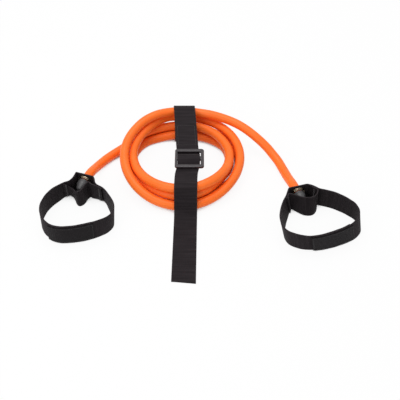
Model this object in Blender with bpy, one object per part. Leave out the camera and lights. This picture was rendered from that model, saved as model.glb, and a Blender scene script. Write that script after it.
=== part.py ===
# Swim resistance band, put away: a long rubber tube wound into a loose coil, a webbing hand loop
# at each end, and a storage strap sewn round the back of the coil with a sliding adjuster on it.
# Metres, +Z up. The object lies on a table at Z = 0 and is seen from -Y.

import math

import bmesh
import bpy
import numpy as np
from mathutils import Matrix, Vector

# Stock sizes
TUBE_DIAMETER = 0.0115
WEBBING_WIDTH = 0.0280
WEBBING_THICKNESS = 0.0016
SEAT_GAP = 0.0003

# Coil: its middle, the radius of its outermost turn and how close two turns may lie
COIL_CENTRE = (-0.0222, 0.0572)
COIL_RADIUS = 0.0726
TURN_CLEARANCE = 0.0008
POINTS_PER_TURN = 24
RIGHT_LEAVES_DEG = -15
RIGHT_ENDS_DEG = -30
LEFT_LEAVES_DEG = 1485
LEFT_ENDS_DEG = 1515
SPOTS_PER_STEP = 4
SETTLE_ROUNDS = 600
SETTLE_SMOOTHING = 0.03
SETTLE_HOLD = 0.03
SETTLE_PUSH = 0.15

# Where the tube lies along its winding, anticlockwise from above, 0 at the strap: degrees, how far
# its middle is outside the outermost turn's usual line, and its height
PILE = (
    (-30, 0.0018, 0.0352), (-15, 0.0020, 0.0356), (0, 0.0008, 0.0369), (15, -0.0020, 0.0379),
    (30, -0.0039, 0.0389), (45, -0.0022, 0.0374), (60, -0.0008, 0.0342), (75, -0.0002, 0.0315),
    (90, 0.0002, 0.0288), (105, 0.0004, 0.0260), (120, 0.0012, 0.0222), (135, 0.0018, 0.0174),
    (150, 0.0028, 0.0122), (165, 0.0033, 0.0085), (180, 0.0032, 0.0060), (195, 0.0024, 0.0072),
    (210, 0.0016, 0.0098), (225, 0.0004, 0.0130), (240, -0.0010, 0.0160), (255, -0.0008, 0.0176),
    (270, 0.0002, 0.0185), (285, 0.0018, 0.0190), (300, 0.0042, 0.0197), (315, 0.0060, 0.0204),
    (330, 0.0068, 0.0214), (345, 0.0066, 0.0226), (360, 0.0040, 0.0234), (375, 0.0016, 0.0256),
    (390, -0.0018, 0.0268), (405, -0.0040, 0.0262), (420, -0.0056, 0.0250), (435, -0.0074, 0.0232),
    (450, -0.0088, 0.0218), (480, -0.0102, 0.0245), (495, -0.0094, 0.0260), (510, -0.0078, 0.0276),
    (525, -0.0062, 0.0284), (540, -0.0060, 0.0282), (555, -0.0056, 0.0288), (570, -0.0064, 0.0294),
    (585, -0.0086, 0.0286), (600, -0.0118, 0.0264), (615, -0.0136, 0.0238), (630, -0.0138, 0.0214),
    (660, -0.0122, 0.0208), (690, -0.0100, 0.0212), (705, -0.0088, 0.0203), (720, -0.0078, 0.0194),
    (735, -0.0054, 0.0174), (750, -0.0010, 0.0158), (765, 0.0022, 0.0156), (780, 0.0034, 0.0156),
    (795, 0.0028, 0.0154), (810, 0.0008, 0.0152), (825, -0.0022, 0.0140), (840, -0.0068, 0.0128),
    (855, -0.0088, 0.0130), (870, -0.0074, 0.0150), (885, -0.0060, 0.0162), (900, -0.0050, 0.0158),
    (915, -0.0056, 0.0166), (930, -0.0074, 0.0174), (945, -0.0104, 0.0160), (960, -0.0134, 0.0132),
    (990, -0.0134, 0.0086), (1005, -0.0110, 0.0080), (1020, -0.0066, 0.0080), (1035, -0.0102, 0.0084),
    (1050, -0.0128, 0.0082), (1080, -0.0142, 0.0080), (1095, -0.0110, 0.0070), (1110, -0.0054, 0.0058),
    (1125, -0.0012, 0.0058), (1140, -0.0014, 0.0058), (1155, -0.0029, 0.0058), (1170, -0.0072, 0.0058),
    (1185, -0.0110, 0.0058), (1200, -0.0142, 0.0058), (1215, -0.0163, 0.0058), (1230, -0.0170, 0.0058),
    (1260, -0.0155, 0.0058), (1290, -0.0120, 0.0058), (1305, -0.0095, 0.0058), (1320, -0.0060, 0.0058),
    (1350, 0.0004, 0.0060), (1365, 0.0026, 0.0064), (1380, 0.0039, 0.0068), (1395, 0.0040, 0.0070),
    (1410, 0.0032, 0.0070), (1440, 0.0026, 0.0082), (1455, 0.0034, 0.0072), (1470, 0.0062, 0.0064),
    (1485, 0.0077, 0.0060), (1515, 0.0208, 0.0060),
)

# Free tube between the coil and each hand loop: points that its middle passes through
RIGHT_ROUTE = (
    (0.0398, 0.1160, 0.0325), (0.0554, 0.1064, 0.0302), (0.0709, 0.0949, 0.0250),
    (0.0863, 0.0822, 0.0170), (0.0940, 0.0735, 0.0122), (0.1012, 0.0621, 0.0090),
    (0.1066, 0.0470, 0.0082), (0.1108, 0.0300, 0.0108),
)
LEFT_ROUTE = (
    (-0.1212, 0.0706, 0.0062), (-0.1269, 0.0619, 0.0070), (-0.1321, 0.0517, 0.0090),
)

# Hand loops: the eyelet's middle on the table plan, which way the tube leaves it, and from that
# middle the webbing's plan clockwise and the pocket's plan between its two seams
EYELET_HEIGHT = 0.0165
EYE_FLAT = 0.0112
LOOP_LAP = 0.050
LEVEL_NEAR_EYELET = 0.032
LEFT = {
    "eyelet": (-0.1430, 0.0175),
    "tube_deg": 19.0,
    "loop": (
        (0.0130, -0.0090), (0.0140, -0.0137), (0.0162, -0.0177), (0.0220, -0.0227),
        (0.0277, -0.0292), (0.0336, -0.0392), (0.0382, -0.0505), (0.0394, -0.0610),
        (0.0355, -0.0693), (0.0265, -0.0763), (0.0130, -0.0823), (-0.0050, -0.0870),
        (-0.0210, -0.0879), (-0.0325, -0.0837), (-0.0420, -0.0745), (-0.0470, -0.0615),
        (-0.0475, -0.0495), (-0.0438, -0.0365), (-0.0370, -0.0255), (-0.0300, -0.0180),
        (-0.0235, -0.0123), (-0.0176, -0.0097), (-0.0142, -0.0057), (-0.0118, -0.0005),
    ),
    "pocket": (
        (0.0100, -0.0158), (0.0064, -0.0128), (0.0030, -0.0166), (0.0003, -0.0236),
        (-0.0028, -0.0274), (-0.0062, -0.0283), (-0.0090, -0.0250), (-0.0116, -0.0188),
        (-0.0146, -0.0142),
    ),
    "pocket_lean_share": 0.12,
    "height_shares": ((0.0, 1.0), (0.45, 1.0), (0.60, 0.90), (0.74, 0.68), (0.86, 0.50), (0.90, 0.60),
                      (0.93, 0.95), (1.0, 1.0)),
    "seams": ((0.0350, 0.0262), (0.0285, 0.0360)),
    "lean_shares": ((0.00, 0.0, 0.0), (0.06, 0.0, 0.0), (0.09, 0.0, -0.12), (0.13, 0.02, -0.18),
                    (0.17, 0.05, -0.12), (0.22, 0.09, 0.0), (0.33, 0.08, 0.0), (0.42, 0.0, 0.02),
                    (0.60, 0.0, -0.01), (0.78, 0.06, 0.03), (0.83, 0.04, 0.0), (0.865, 0.03, -0.15),
                    (0.89, 0.02, -0.20), (0.92, 0.0, -0.12), (0.95, 0.0, 0.0), (1.00, 0.0, 0.0)),
    "front_share": 0.485,
}
RIGHT = {
    "eyelet": (0.1195, -0.0035),
    "tube_deg": -17.0,
    "loop": (
        (0.0150, 0.0023), (0.0200, -0.0005), (0.0250, -0.0043), (0.0315, -0.0065),
        (0.0405, -0.0097), (0.0495, -0.0150), (0.0590, -0.0223), (0.0660, -0.0300),
        (0.0695, -0.0400), (0.0687, -0.0493), (0.0633, -0.0577), (0.0545, -0.0647),
        (0.0415, -0.0715), (0.0285, -0.0765), (0.0165, -0.0797), (0.0035, -0.0807),
        (-0.0085, -0.0777), (-0.0185, -0.0710), (-0.0225, -0.0595), (-0.0220, -0.0455),
        (-0.0190, -0.0335), (-0.0153, -0.0227), (-0.0129, -0.0150), (-0.0121, -0.0090),
    ),
    "pocket": (
        (0.0234, -0.0090), (0.0214, -0.0156), (0.0174, -0.0202), (0.0118, -0.0216),
        (0.0052, -0.0207), (-0.0006, -0.0178), (-0.0056, -0.0148),
    ),
    "pocket_lean_share": 0.14,
    "height_shares": ((0.0, 1.0), (1.0, 1.0)),
    "seams": ((0.0185, 0.0270), (0.0210, 0.0290)),
    "lean_shares": ((0.00, 0.0, 0.0), (0.18, 0.0, 0.0), (0.28, -0.10, 0.0), (0.36, -0.22, 0.0),
                    (0.45, -0.25, -0.03), (0.60, -0.20, -0.09), (0.72, -0.20, -0.08), (0.80, -0.28, 0.0),
                    (0.88, -0.30, 0.0), (0.925, -0.16, 0.0), (0.955, 0.0, 0.0), (1.00, 0.0, 0.0)),
    "front_share": 0.50,
}

# Eyelet, washer and the stopper on the tube's end
EYELET_BORE_CLEARANCE = 0.0004
EYELET_WALL = 0.0008
EYELET_FLANGE_REACH = 0.0024
EYELET_FLANGE_THICKNESS = 0.0012
EYELET_LIP_REACH = 0.0013
WASHER_THICKNESS = 0.0010
WASHER_REACH = 0.0022
STOPPER_LENGTH = 0.0145
STOPPER_WALL = 0.0013
STOPPER_SOCKET = 0.0050
STOPPER_TIP_RADIUS = 0.0032
STOPPER_STANDOFF = 0.0007

# Label patch and bar tacks
LABEL_LENGTH = 0.0540
LABEL_HEIGHT = 0.0240
LABEL_THICKNESS = 0.0007
TACK_HEIGHT_SHARE = 0.80
TACK_WIDTH = 0.0022
TACK_THICKNESS = 0.0006

# Storage strap: its sideways wander (Y, X) as laid, its free end and its stitched lap
STRAP_WANDER = (
    (-0.1315, -0.0185), (-0.0370, -0.0176), (0.0050, -0.0170), (0.0140, -0.0165), (0.0215, -0.0148),
    (0.0240, -0.0139), (0.0460, -0.0139), (0.0500, -0.0150), (0.0550, -0.0158), (0.1000, -0.0188),
    (0.1180, -0.0200), (0.1320, -0.0210),
)
STRAP_TAIL_END = -0.1315
STRAP_TAIL_SKEW = 0.0015
STITCHED_END = 0.0600
STITCHED_START = 0.0960
SLIDER_MIDDLE = (-0.0131, 0.0348, 0.0364)
SLIDER_TILT_DEG = 1.5
SLIDER_WIDTH = 0.0362
SLIDER_LENGTH = 0.0330
SLIDER_THICKNESS = 0.0034
SLIDER_END_BAR = 0.0050
SLIDER_MIDDLE_BAR = 0.0060
SLIDER_SIDE_BAR = 0.0029
SLIDER_CORNER = 0.0030
SLIDER_EDGE = 0.0006
SLIDER_RUN_OUT = 0.0035

ROUND_SEGMENTS = 28
WEBBING_STEP = 0.0022
STRAP_STEP = 0.0028
POCKET_STEP = 0.0022


def make_material(name, colour, roughness, metallic=0.0):
    material = bpy.data.materials.new(name)
    material.use_nodes = True
    shader = material.node_tree.nodes["Principled BSDF"]
    shader.inputs["Base Color"].default_value = (*colour, 1.0)
    shader.inputs["Roughness"].default_value = roughness
    shader.inputs["Metallic"].default_value = metallic
    material.diffuse_color = (*colour, 1.0)
    return material


# Lines

def smooth_curve(points, step):
    # A centripetal Catmull-Rom curve through the points, in pieces of at most one step
    points = [np.asarray(point, float) for point in points]
    ends = [2 * points[0] - points[1]] + points + [2 * points[-1] - points[-2]]
    curve = [points[0]]
    for before, start, end, after in zip(ends, ends[1:], ends[2:], ends[3:]):
        knots = [0.0]
        for first, second in ((before, start), (start, end), (end, after)):
            knots.append(knots[-1] + math.sqrt(np.linalg.norm(second - first)))
        pieces = max(1, math.ceil(np.linalg.norm(end - start) / step - 1e-6))
        for piece in range(1, pieces + 1):
            t = knots[1] + (knots[2] - knots[1]) * piece / pieces
            low = (before * (knots[1] - t) + start * t) / knots[1]
            mid = (start * (knots[2] - t) + end * (t - knots[1])) / (knots[2] - knots[1])
            high = (end * (knots[3] - t) + after * (t - knots[2])) / (knots[3] - knots[2])
            near = (low * (knots[2] - t) + mid * t) / knots[2]
            far = (mid * (knots[3] - t) + high * (t - knots[1])) / (knots[3] - knots[1])
            curve.append((near * (knots[2] - t) + far * (t - knots[1])) / (knots[2] - knots[1]))
    return np.array(curve)


def lengths_along(points):
    steps = np.linalg.norm(np.diff(points, axis=0), axis=1)
    return np.concatenate([[0.0], np.cumsum(steps)])


def at_length(points, lengths, wanted):
    return np.column_stack([np.interp(wanted, lengths, points[:, axis]) for axis in range(points.shape[1])])


def evenly_spaced(points, step):
    points = np.asarray(points, float)
    lengths = lengths_along(points)
    count = max(1, round(lengths[-1] / step))
    return at_length(points, lengths, np.linspace(0.0, lengths[-1], count + 1))


def tangents_of(points):
    tangents = np.gradient(points, axis=0)
    return tangents / np.linalg.norm(tangents, axis=1)[:, None]


# Coil

def pile_points(angles, places):
    radii = COIL_RADIUS + places[:, 0]
    turned_by = np.radians(angles)
    return np.column_stack([
        COIL_CENTRE[0] - radii * np.sin(turned_by),
        COIL_CENTRE[1] + radii * np.cos(turned_by),
        places[:, 1],
    ])


def wind_coil():
    angles = np.arange(RIGHT_ENDS_DEG, LEFT_ENDS_DEG + 1, 360 / POINTS_PER_TURN)
    marks, outward, heights = np.array(PILE).T
    curve = smooth_curve(np.column_stack([outward, heights, marks / 1000]), 0.002)
    targets = np.column_stack([np.interp(angles / 1000, curve[:, 2], curve[:, axis]) for axis in range(2)])
    held = (angles <= RIGHT_LEAVES_DEG) | (angles >= LEFT_LEAVES_DEG)
    for source in (RIGHT_LEAVES_DEG, LEFT_LEAVES_DEG):
        # The tube leaves the coil along its tangent
        start = np.flatnonzero(angles == source)[0]
        for index in np.flatnonzero(held & (np.abs(angles - source) < 90)):
            past = math.cos(math.radians(angles[index] - source))
            targets[index] = ((COIL_RADIUS + targets[start, 0]) / past - COIL_RADIUS, targets[start, 1])
    return pile_points(angles, settle(targets, angles, held)), angles


def settle(targets, angles, held):
    # Stretches that lie too close push each other apart, and the tube keeps a smooth line
    pitch = TUBE_DIAMETER + TURN_CLEARANCE
    floor = np.full(len(angles), TUBE_DIAMETER / 2)
    over_strap = np.abs((angles + 180) % 360 - 180) < 360 / POINTS_PER_TURN + 1
    floor[over_strap] += WEBBING_THICKNESS + 2 * SEAT_GAP
    floor[held] = np.minimum(floor[held], targets[held, 1])
    free = (~held).astype(float)
    spots = np.arange(angles[0], angles[-1] + 0.1, 360 / POINTS_PER_TURN / SPOTS_PER_STEP)
    share = np.maximum(1 - np.abs(spots[:, None] - angles[None, :]) * POINTS_PER_TURN / 360, 0)
    apart_enough = np.abs(spots[:, None] - spots[None, :]) > 120
    turned_by = np.radians(angles)
    radial = np.column_stack([-np.sin(turned_by), np.cos(turned_by)])
    places = targets.copy()
    for attempt in range(SETTLE_ROUNDS):
        easing = 1.0 if attempt < SETTLE_ROUNDS * 0.7 else 0.02
        bend = places[:-2] + places[2:] - 2 * places[1:-1]
        places[1:-1] += SETTLE_SMOOTHING * easing * bend * free[1:-1, None]
        places += SETTLE_HOLD * easing * (targets - places) * free[:, None]
        points = share @ pile_points(angles, places)
        apart = points[:, None, :] - points[None, :, :]
        distance = np.maximum(np.linalg.norm(apart, axis=2), 1e-6)
        push = np.where(apart_enough, np.maximum(pitch - distance, 0.0), 0.0) / distance * SETTLE_PUSH
        moved = share.T @ (apart * push[:, :, None]).sum(axis=1)
        places[:, 0] += (moved[:, :2] * radial).sum(axis=1) * free
        places[:, 1] += moved[:, 2] * free
        places[:, 1] = np.maximum(places[:, 1], floor)
    return places


def least_gap(points):
    # Least gap between stretches of the tube that aren't neighbours along it
    fine = evenly_spaced(points, TUBE_DIAMETER / 3)
    lengths = lengths_along(fine)
    least = math.inf
    for index, point in enumerate(fine):
        others = fine[lengths > lengths[index] + 6 * TUBE_DIAMETER]
        if len(others):
            least = min(least, float(np.linalg.norm(others - point, axis=1).min()))
    return least - TUBE_DIAMETER


def tube_object(name, points, side_steps, material):
    curve = bpy.data.curves.new(name, "CURVE")
    curve.dimensions = "3D"
    curve.bevel_depth = TUBE_DIAMETER / 2
    curve.bevel_resolution = side_steps
    curve.use_fill_caps = True
    spline = curve.splines.new("POLY")
    spline.points.add(len(points) - 1)
    for place, point in zip(spline.points, points):
        place.co = (*point, 1.0)
    spline.use_smooth = True
    curve.materials.append(material)
    body = bpy.data.objects.new(name, curve)
    bpy.context.collection.objects.link(body)
    return body


def lead_points(coil_end, coil_tangent, route, eyelet):
    # Straight out of the coil for one diameter, along the route, and straight into the stopper
    start = coil_end + coil_tangent * SEAT_GAP
    outside = eyelet["middle"] + eyelet["out"] * (eyelet["flange_face"] + TUBE_DIAMETER)
    inside = eyelet["middle"] - eyelet["out"] * (eyelet["stopper_rim"] + STOPPER_SOCKET - SEAT_GAP)
    bend = smooth_curve([start + coil_tangent * TUBE_DIAMETER, *route, outside], 1.5 * TUBE_DIAMETER)
    return np.vstack([start, bend, inside])


# Meshes

def link_mesh(name, vertices, faces, material, smooth_deg=None):
    mesh = bpy.data.meshes.new(name)
    mesh.from_pydata([tuple(map(float, vertex)) for vertex in vertices], [], faces)
    work = bmesh.new()
    work.from_mesh(mesh)
    bmesh.ops.recalc_face_normals(work, faces=work.faces)
    work.to_mesh(mesh)
    work.free()
    if smooth_deg is not None:
        mesh.shade_smooth()
        mesh.set_sharp_from_angle(angle=math.radians(smooth_deg))
    if material:
        mesh.materials.append(material)
    body = bpy.data.objects.new(name, mesh)
    bpy.context.collection.objects.link(body)
    return body


def ribbon(name, middle, across, widths, thickness, material, skew=0.0):
    # Flat webbing along a line: across lies along its width, its thickness is square to both
    middle = np.asarray(middle, float)
    across = np.broadcast_to(np.asarray(across, float), middle.shape)
    widths = np.broadcast_to(widths, len(middle))
    forward = tangents_of(middle)
    normal = np.cross(forward, across)
    normal /= np.linalg.norm(normal, axis=1)[:, None]
    slants = np.zeros(len(middle))
    slants[-1] = skew
    vertices = []
    for place, ahead, side, out, width, slant in zip(middle, forward, across, normal, widths, slants):
        for along, through in ((-1, -1), (1, -1), (1, 1), (-1, 1)):
            edge = place + side * along * width / 2 + ahead * along * slant
            vertices.append(edge + out * through * thickness / 2)
    faces = [(0, 1, 2, 3)]
    for ring in range(len(middle) - 1):
        low = 4 * ring
        for corner in range(4):
            after = (corner + 1) % 4
            faces.append((low + corner, low + 4 + corner, low + 4 + after, low + after))
    top = 4 * (len(middle) - 1)
    faces.append((top + 3, top + 2, top + 1, top))
    return link_mesh(name, vertices, faces, material, 40)


def turned(name, profile, middle, axis, material):
    # A profile of (radius, place along the axis) turned once round; radius 0 closes it
    axis = np.asarray(axis, float)
    side = np.cross(axis, (0.0, 0.0, 1.0))
    side /= np.linalg.norm(side)
    third = np.cross(axis, side)
    vertices = []
    rings = []
    for radius, along in profile:
        count = ROUND_SEGMENTS if radius > 0 else 1
        rings.append([len(vertices) + index for index in range(count)])
        for index in range(count):
            angle = 2 * math.pi * index / ROUND_SEGMENTS
            around = side * math.cos(angle) + third * math.sin(angle)
            vertices.append(middle + axis * along + around * radius)
    faces = []
    joined = rings + rings[:1] if profile[0][0] > 0 else rings
    for one, two in zip(joined, joined[1:]):
        for index in range(ROUND_SEGMENTS):
            after = (index + 1) % ROUND_SEGMENTS
            corners = [one[index % len(one)], one[after % len(one)], two[after % len(two)], two[index % len(two)]]
            face = list(dict.fromkeys(corners))
            if len(face) > 2:
                faces.append(face)
    return link_mesh(name, vertices, faces, material, 40)


def cut_with(body, cutter):
    cutter.hide_render = True
    cutter.display_type = "WIRE"
    cut = body.modifiers.new("cut", "BOOLEAN")
    cut.operation = "DIFFERENCE"
    cut.solver = "EXACT"
    cut.object = cutter


def box_mesh(name, size, middle):
    half = [value / 2 for value in size]
    corners = [(x, y, z) for x in (-half[0], half[0]) for y in (-half[1], half[1]) for z in (-half[2], half[2])]
    faces = [(0, 1, 3, 2), (4, 6, 7, 5), (0, 4, 5, 1), (2, 3, 7, 6), (0, 2, 6, 4), (1, 5, 7, 3)]
    return link_mesh(name, [Vector(corner) + Vector(middle) for corner in corners], faces, None)


# Hand loops

def eyelet_places(plan, tube_deg):
    # Places along the eyelet's axis, from the middle of the webbing
    turn = math.radians(tube_deg)
    places = {
        "middle": np.array([plan[0], plan[1], EYELET_HEIGHT]),
        "out": np.array([math.sin(turn), math.cos(turn), 0.0]),
        "side": np.array([math.cos(turn), -math.sin(turn), 0.0]),
        "bore": TUBE_DIAMETER / 2 + EYELET_BORE_CLEARANCE,
        "seat": WEBBING_THICKNESS / 2 + SEAT_GAP,
    }
    places["barrel"] = places["bore"] + EYELET_WALL
    places["hole"] = places["barrel"] + SEAT_GAP
    places["flange_face"] = places["seat"] + EYELET_FLANGE_THICKNESS
    places["washer_face"] = places["seat"] + WASHER_THICKNESS
    places["lip_seat"] = places["washer_face"] + SEAT_GAP
    places["lip_face"] = places["lip_seat"] + EYELET_WALL
    places["stopper_rim"] = places["lip_face"] + STOPPER_STANDOFF
    return places


def inward_of(points):
    # The loop's line runs clockwise from above, so its inside is on the right
    tangents = tangents_of(points)
    return np.column_stack([tangents[:, 1], -tangents[:, 0]])


def loop_line(eyelet, plan):
    # The webbing's middle, once round from the eyelet and flat where the eyelet is set
    flat = [eyelet["middle"] + eyelet["side"] * share * EYE_FLAT for share in (0.0, 0.4, 0.8, 1.0)]
    back = [eyelet["middle"] - eyelet["side"] * share * EYE_FLAT for share in (1.0, 0.8, 0.4, 0.0)]
    round_it = list(np.add(plan, eyelet["middle"][:2]))
    corners = [point[:2] for point in flat] + round_it + [point[:2] for point in back]
    ring = smooth_curve(corners, WEBBING_STEP)
    return ring, lengths_along(ring)


def leaning(shape, lengths, places):
    # The way the webbing's width stands, upright or leaning
    shares, lean_x, lean_y = zip(*shape["lean_shares"])
    share = np.asarray(places) % lengths[-1] / lengths[-1]
    across = np.column_stack([
        np.interp(share, shares, lean_x), np.interp(share, shares, lean_y), np.ones(len(share)),
    ])
    return across / np.linalg.norm(across, axis=1)[:, None]


def standing(line, heights):
    return np.column_stack([line, np.broadcast_to(np.asarray(heights) / 2, len(line))])


def grip_loop(name, shape, eyelet, ring, lengths, material):
    # One strip that starts and ends at the front, where its ends lie on each other
    total = lengths[-1]
    start = shape["front_share"] * total - LOOP_LAP / 2
    count = round((total + LOOP_LAP) / WEBBING_STEP)
    places = start + np.linspace(0.0, total + LOOP_LAP, count + 1)
    line = at_length(ring, lengths, places % total)
    lap = (WEBBING_THICKNESS + SEAT_GAP) / 2
    marks = (start, start + LOOP_LAP, total - LEVEL_NEAR_EYELET, total + LEVEL_NEAR_EYELET,
             start + total, start + total + LOOP_LAP)
    shifts = np.interp(places, marks, (lap, lap, 0.0, 0.0, -lap, -lap))
    line = line + inward_of(line) * shifts[:, None]
    across = leaning(shape, lengths, places)
    body = ribbon(name, standing(line, WEBBING_WIDTH), across, WEBBING_WIDTH, WEBBING_THICKNESS, material)
    reach = 4 * WEBBING_THICKNESS
    profile = [(0, -reach), (eyelet["hole"], -reach), (eyelet["hole"], reach), (0, reach)]
    cut_with(body, turned(name + "_hole", profile, eyelet["middle"], eyelet["out"], None))
    return body


def pocket_cover(name, shape, eyelet, ring, lengths, material):
    # Sewn flat to the loop on both sides of the eyelet, and bulging inwards round the stopper
    total = lengths[-1]
    out = WEBBING_THICKNESS + SEAT_GAP
    first, second = shape["seams"]
    stitched = []
    for start, end in (first, (total - second[0], total - second[1])):
        places = np.linspace(start, end, 4)
        ahead = 1 if end > start else -1
        line = at_length(ring, lengths, places)
        inward = inward_of(at_length(ring, lengths, np.sort(places)))[::ahead]
        across = leaning(shape, lengths, places)
        stitched.append(np.column_stack([line + inward * out, across * TUBE_DIAMETER]))
    share = np.linspace(0, 1, len(shape["pocket"]) + 2)[1:-1, None]
    leans = stitched[0][-1, 2:] * (1 - share) + stitched[1][0, 2:] * share
    leans[:, 1] += shape["pocket_lean_share"] * TUBE_DIAMETER * np.sin(math.pi * share[:, 0])
    bulge = np.column_stack([np.add(shape["pocket"], eyelet["middle"][:2]), leans])
    curve = smooth_curve([*stitched[0], *bulge, *stitched[1]], POCKET_STEP)
    along = lengths_along(curve[:, :2])
    marks, heights = zip(*shape["height_shares"])
    heights = np.interp(along / along[-1], marks, heights) * WEBBING_WIDTH
    across = curve[:, 2:] / np.linalg.norm(curve[:, 2:], axis=1)[:, None]
    return ribbon(name, standing(curve[:, :2], heights), across, heights, WEBBING_THICKNESS, material)


def label_patch(name, shape, ring, lengths, material):
    # Sewn over the lapped ends, on the outside of the loop's front
    total = lengths[-1]
    out = (WEBBING_THICKNESS + SEAT_GAP) / 2 + WEBBING_THICKNESS / 2 + SEAT_GAP + LABEL_THICKNESS / 2
    places = shape["front_share"] * total + np.linspace(-0.5, 0.5, 17) * LABEL_LENGTH
    line = at_length(ring, lengths, places)
    line = line - inward_of(line) * out
    across = leaning(shape, lengths, places)
    return ribbon(name, standing(line, WEBBING_WIDTH), across, LABEL_HEIGHT, LABEL_THICKNESS, material)


def bar_tack(name, shape, ring, lengths, place, height, material):
    # Dense thread bar through the pocket's cover at one seam
    out = 1.5 * WEBBING_THICKNESS + 2 * SEAT_GAP + TACK_THICKNESS / 2
    places = place + np.linspace(-0.5, 0.5, 3) * TACK_WIDTH
    line = at_length(ring, lengths, places)
    line = line + inward_of(line) * out
    across = leaning(shape, lengths, places)
    tall = height * TACK_HEIGHT_SHARE
    return ribbon(name, standing(line, height), across, tall, TACK_THICKNESS, material)


def eyelet_ring(name, eyelet, material):
    flange = eyelet["barrel"] + EYELET_FLANGE_REACH
    lip = eyelet["barrel"] + EYELET_LIP_REACH
    ease = EYELET_FLANGE_THICKNESS / 3
    profile = [
        (eyelet["bore"], -eyelet["lip_face"]),
        (eyelet["bore"], eyelet["flange_face"] - ease),
        (eyelet["bore"] + ease, eyelet["flange_face"]),
        (flange - ease, eyelet["flange_face"]),
        (flange, eyelet["flange_face"] - ease),
        (flange, eyelet["seat"]),
        (eyelet["barrel"], eyelet["seat"]),
        (eyelet["barrel"], -eyelet["lip_seat"]),
        (lip, -eyelet["lip_seat"]),
        (lip - ease / 2, -eyelet["lip_face"]),
    ]
    return turned(name, profile, eyelet["middle"], eyelet["out"], material)


def washer_ring(name, eyelet, material):
    outer = eyelet["barrel"] + WASHER_REACH
    ease = WASHER_THICKNESS / 3
    profile = [
        (eyelet["hole"], -eyelet["seat"]),
        (outer, -eyelet["seat"]),
        (outer, -eyelet["washer_face"] + ease),
        (outer - ease, -eyelet["washer_face"]),
        (eyelet["hole"], -eyelet["washer_face"]),
    ]
    return turned(name, profile, eyelet["middle"], eyelet["out"], material)


def tapered_stopper(name, eyelet, material):
    # A cup over the tube's end, then a blunt cone inside the pocket
    rim = eyelet["stopper_rim"]
    inner = TUBE_DIAMETER / 2 + SEAT_GAP
    outer = inner + STOPPER_WALL
    ease = STOPPER_TIP_RADIUS / 3
    tip = rim + STOPPER_LENGTH
    profile = [
        (0, -rim - STOPPER_SOCKET),
        (inner, -rim - STOPPER_SOCKET),
        (inner, -rim),
        (outer - STOPPER_WALL / 3, -rim),
        (outer, -rim - STOPPER_WALL / 2),
        (outer, -rim - STOPPER_SOCKET - STOPPER_WALL),
        (STOPPER_TIP_RADIUS + ease, -tip + 2 * ease),
        (STOPPER_TIP_RADIUS, -tip + ease),
        (STOPPER_TIP_RADIUS - ease, -tip),
        (0, -tip),
    ]
    return turned(name, profile, eyelet["middle"], eyelet["out"], material)


def hang_on(pivot, bodies):
    for body in bodies:
        body.parent = pivot
        body.matrix_parent_inverse = Matrix.Translation(-pivot.location)


def pivot_at(name, place):
    pivot = bpy.data.objects.new(name, None)
    pivot.empty_display_size = 0.01
    bpy.context.collection.objects.link(pivot)
    pivot.location = place
    return pivot


def hand_set(side, shape, finishes):
    eyelet = eyelet_places(shape["eyelet"], shape["tube_deg"])
    ring, lengths = loop_line(eyelet, shape["loop"])
    first, second = shape["seams"]
    tacks = (
        ("_right_bar_tack", sum(first) / 2, shape["height_shares"][0][1]),
        ("_left_bar_tack", lengths[-1] - sum(second) / 2, shape["height_shares"][-1][1]),
    )
    bodies = [
        grip_loop(side + "_grip_loop", shape, eyelet, ring, lengths, finishes["webbing"]),
        pocket_cover(side + "_pocket_cover", shape, eyelet, ring, lengths, finishes["webbing"]),
        label_patch(side + "_label_patch", shape, ring, lengths, finishes["label"]),
        eyelet_ring(side + "_eyelet", eyelet, finishes["brass"]),
        washer_ring(side + "_eyelet_washer", eyelet, finishes["brass"]),
    ]
    for end, place, height in tacks:
        tall = height * WEBBING_WIDTH
        bodies.append(bar_tack(side + end, shape, ring, lengths, place, tall, finishes["thread"]))
    hang_on(pivot_at(side + "_swivel_axis", eyelet["middle"]), bodies)
    tapered_stopper(side + "_stopper", eyelet, finishes["plug"])
    return eyelet


# Storage strap

def wrap_outline(centres, reach):
    # Convex outline, anticlockwise in (y, z) from its least y, round circles of one radius
    around = [2 * math.pi * index / 48 for index in range(48)]
    cloud = sorted({
        (round(y + reach * math.cos(angle), 6), round(z + reach * math.sin(angle), 6))
        for y, z in centres for angle in around
    })

    def half(points):
        chain = []
        for point in points:
            while len(chain) > 1:
                (ay, az), (by, bz) = chain[-2], chain[-1]
                if (by - ay) * (point[1] - az) - (bz - az) * (point[0] - ay) > 0:
                    break
                chain.pop()
            chain.append(point)
        return chain[:-1]

    return half(cloud) + half(cloud[::-1])


def turns_under(points, angles, degrees, first, last):
    # Where the turns cross the strap's two edges and the coil's middle, in (y, z)
    edges = (first - WEBBING_WIDTH / 2, COIL_CENTRE[0], last + WEBBING_WIDTH / 2)
    centres = []
    for base in np.arange(degrees, angles[-1], 360):
        near = np.abs(angles - base) < 31
        stretch = points[near]
        order = np.argsort(stretch[:, 0])
        for x in edges:
            centres.append(tuple(np.interp(x, stretch[order, 0], stretch[order, axis]) for axis in (1, 2)))
    return centres


def slider_point(along, above):
    tilt = math.radians(SLIDER_TILT_DEG)
    return (
        SLIDER_MIDDLE[1] + along * math.cos(tilt) - above * math.sin(tilt),
        SLIDER_MIDDLE[2] + along * math.sin(tilt) + above * math.cos(tilt),
    )


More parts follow.
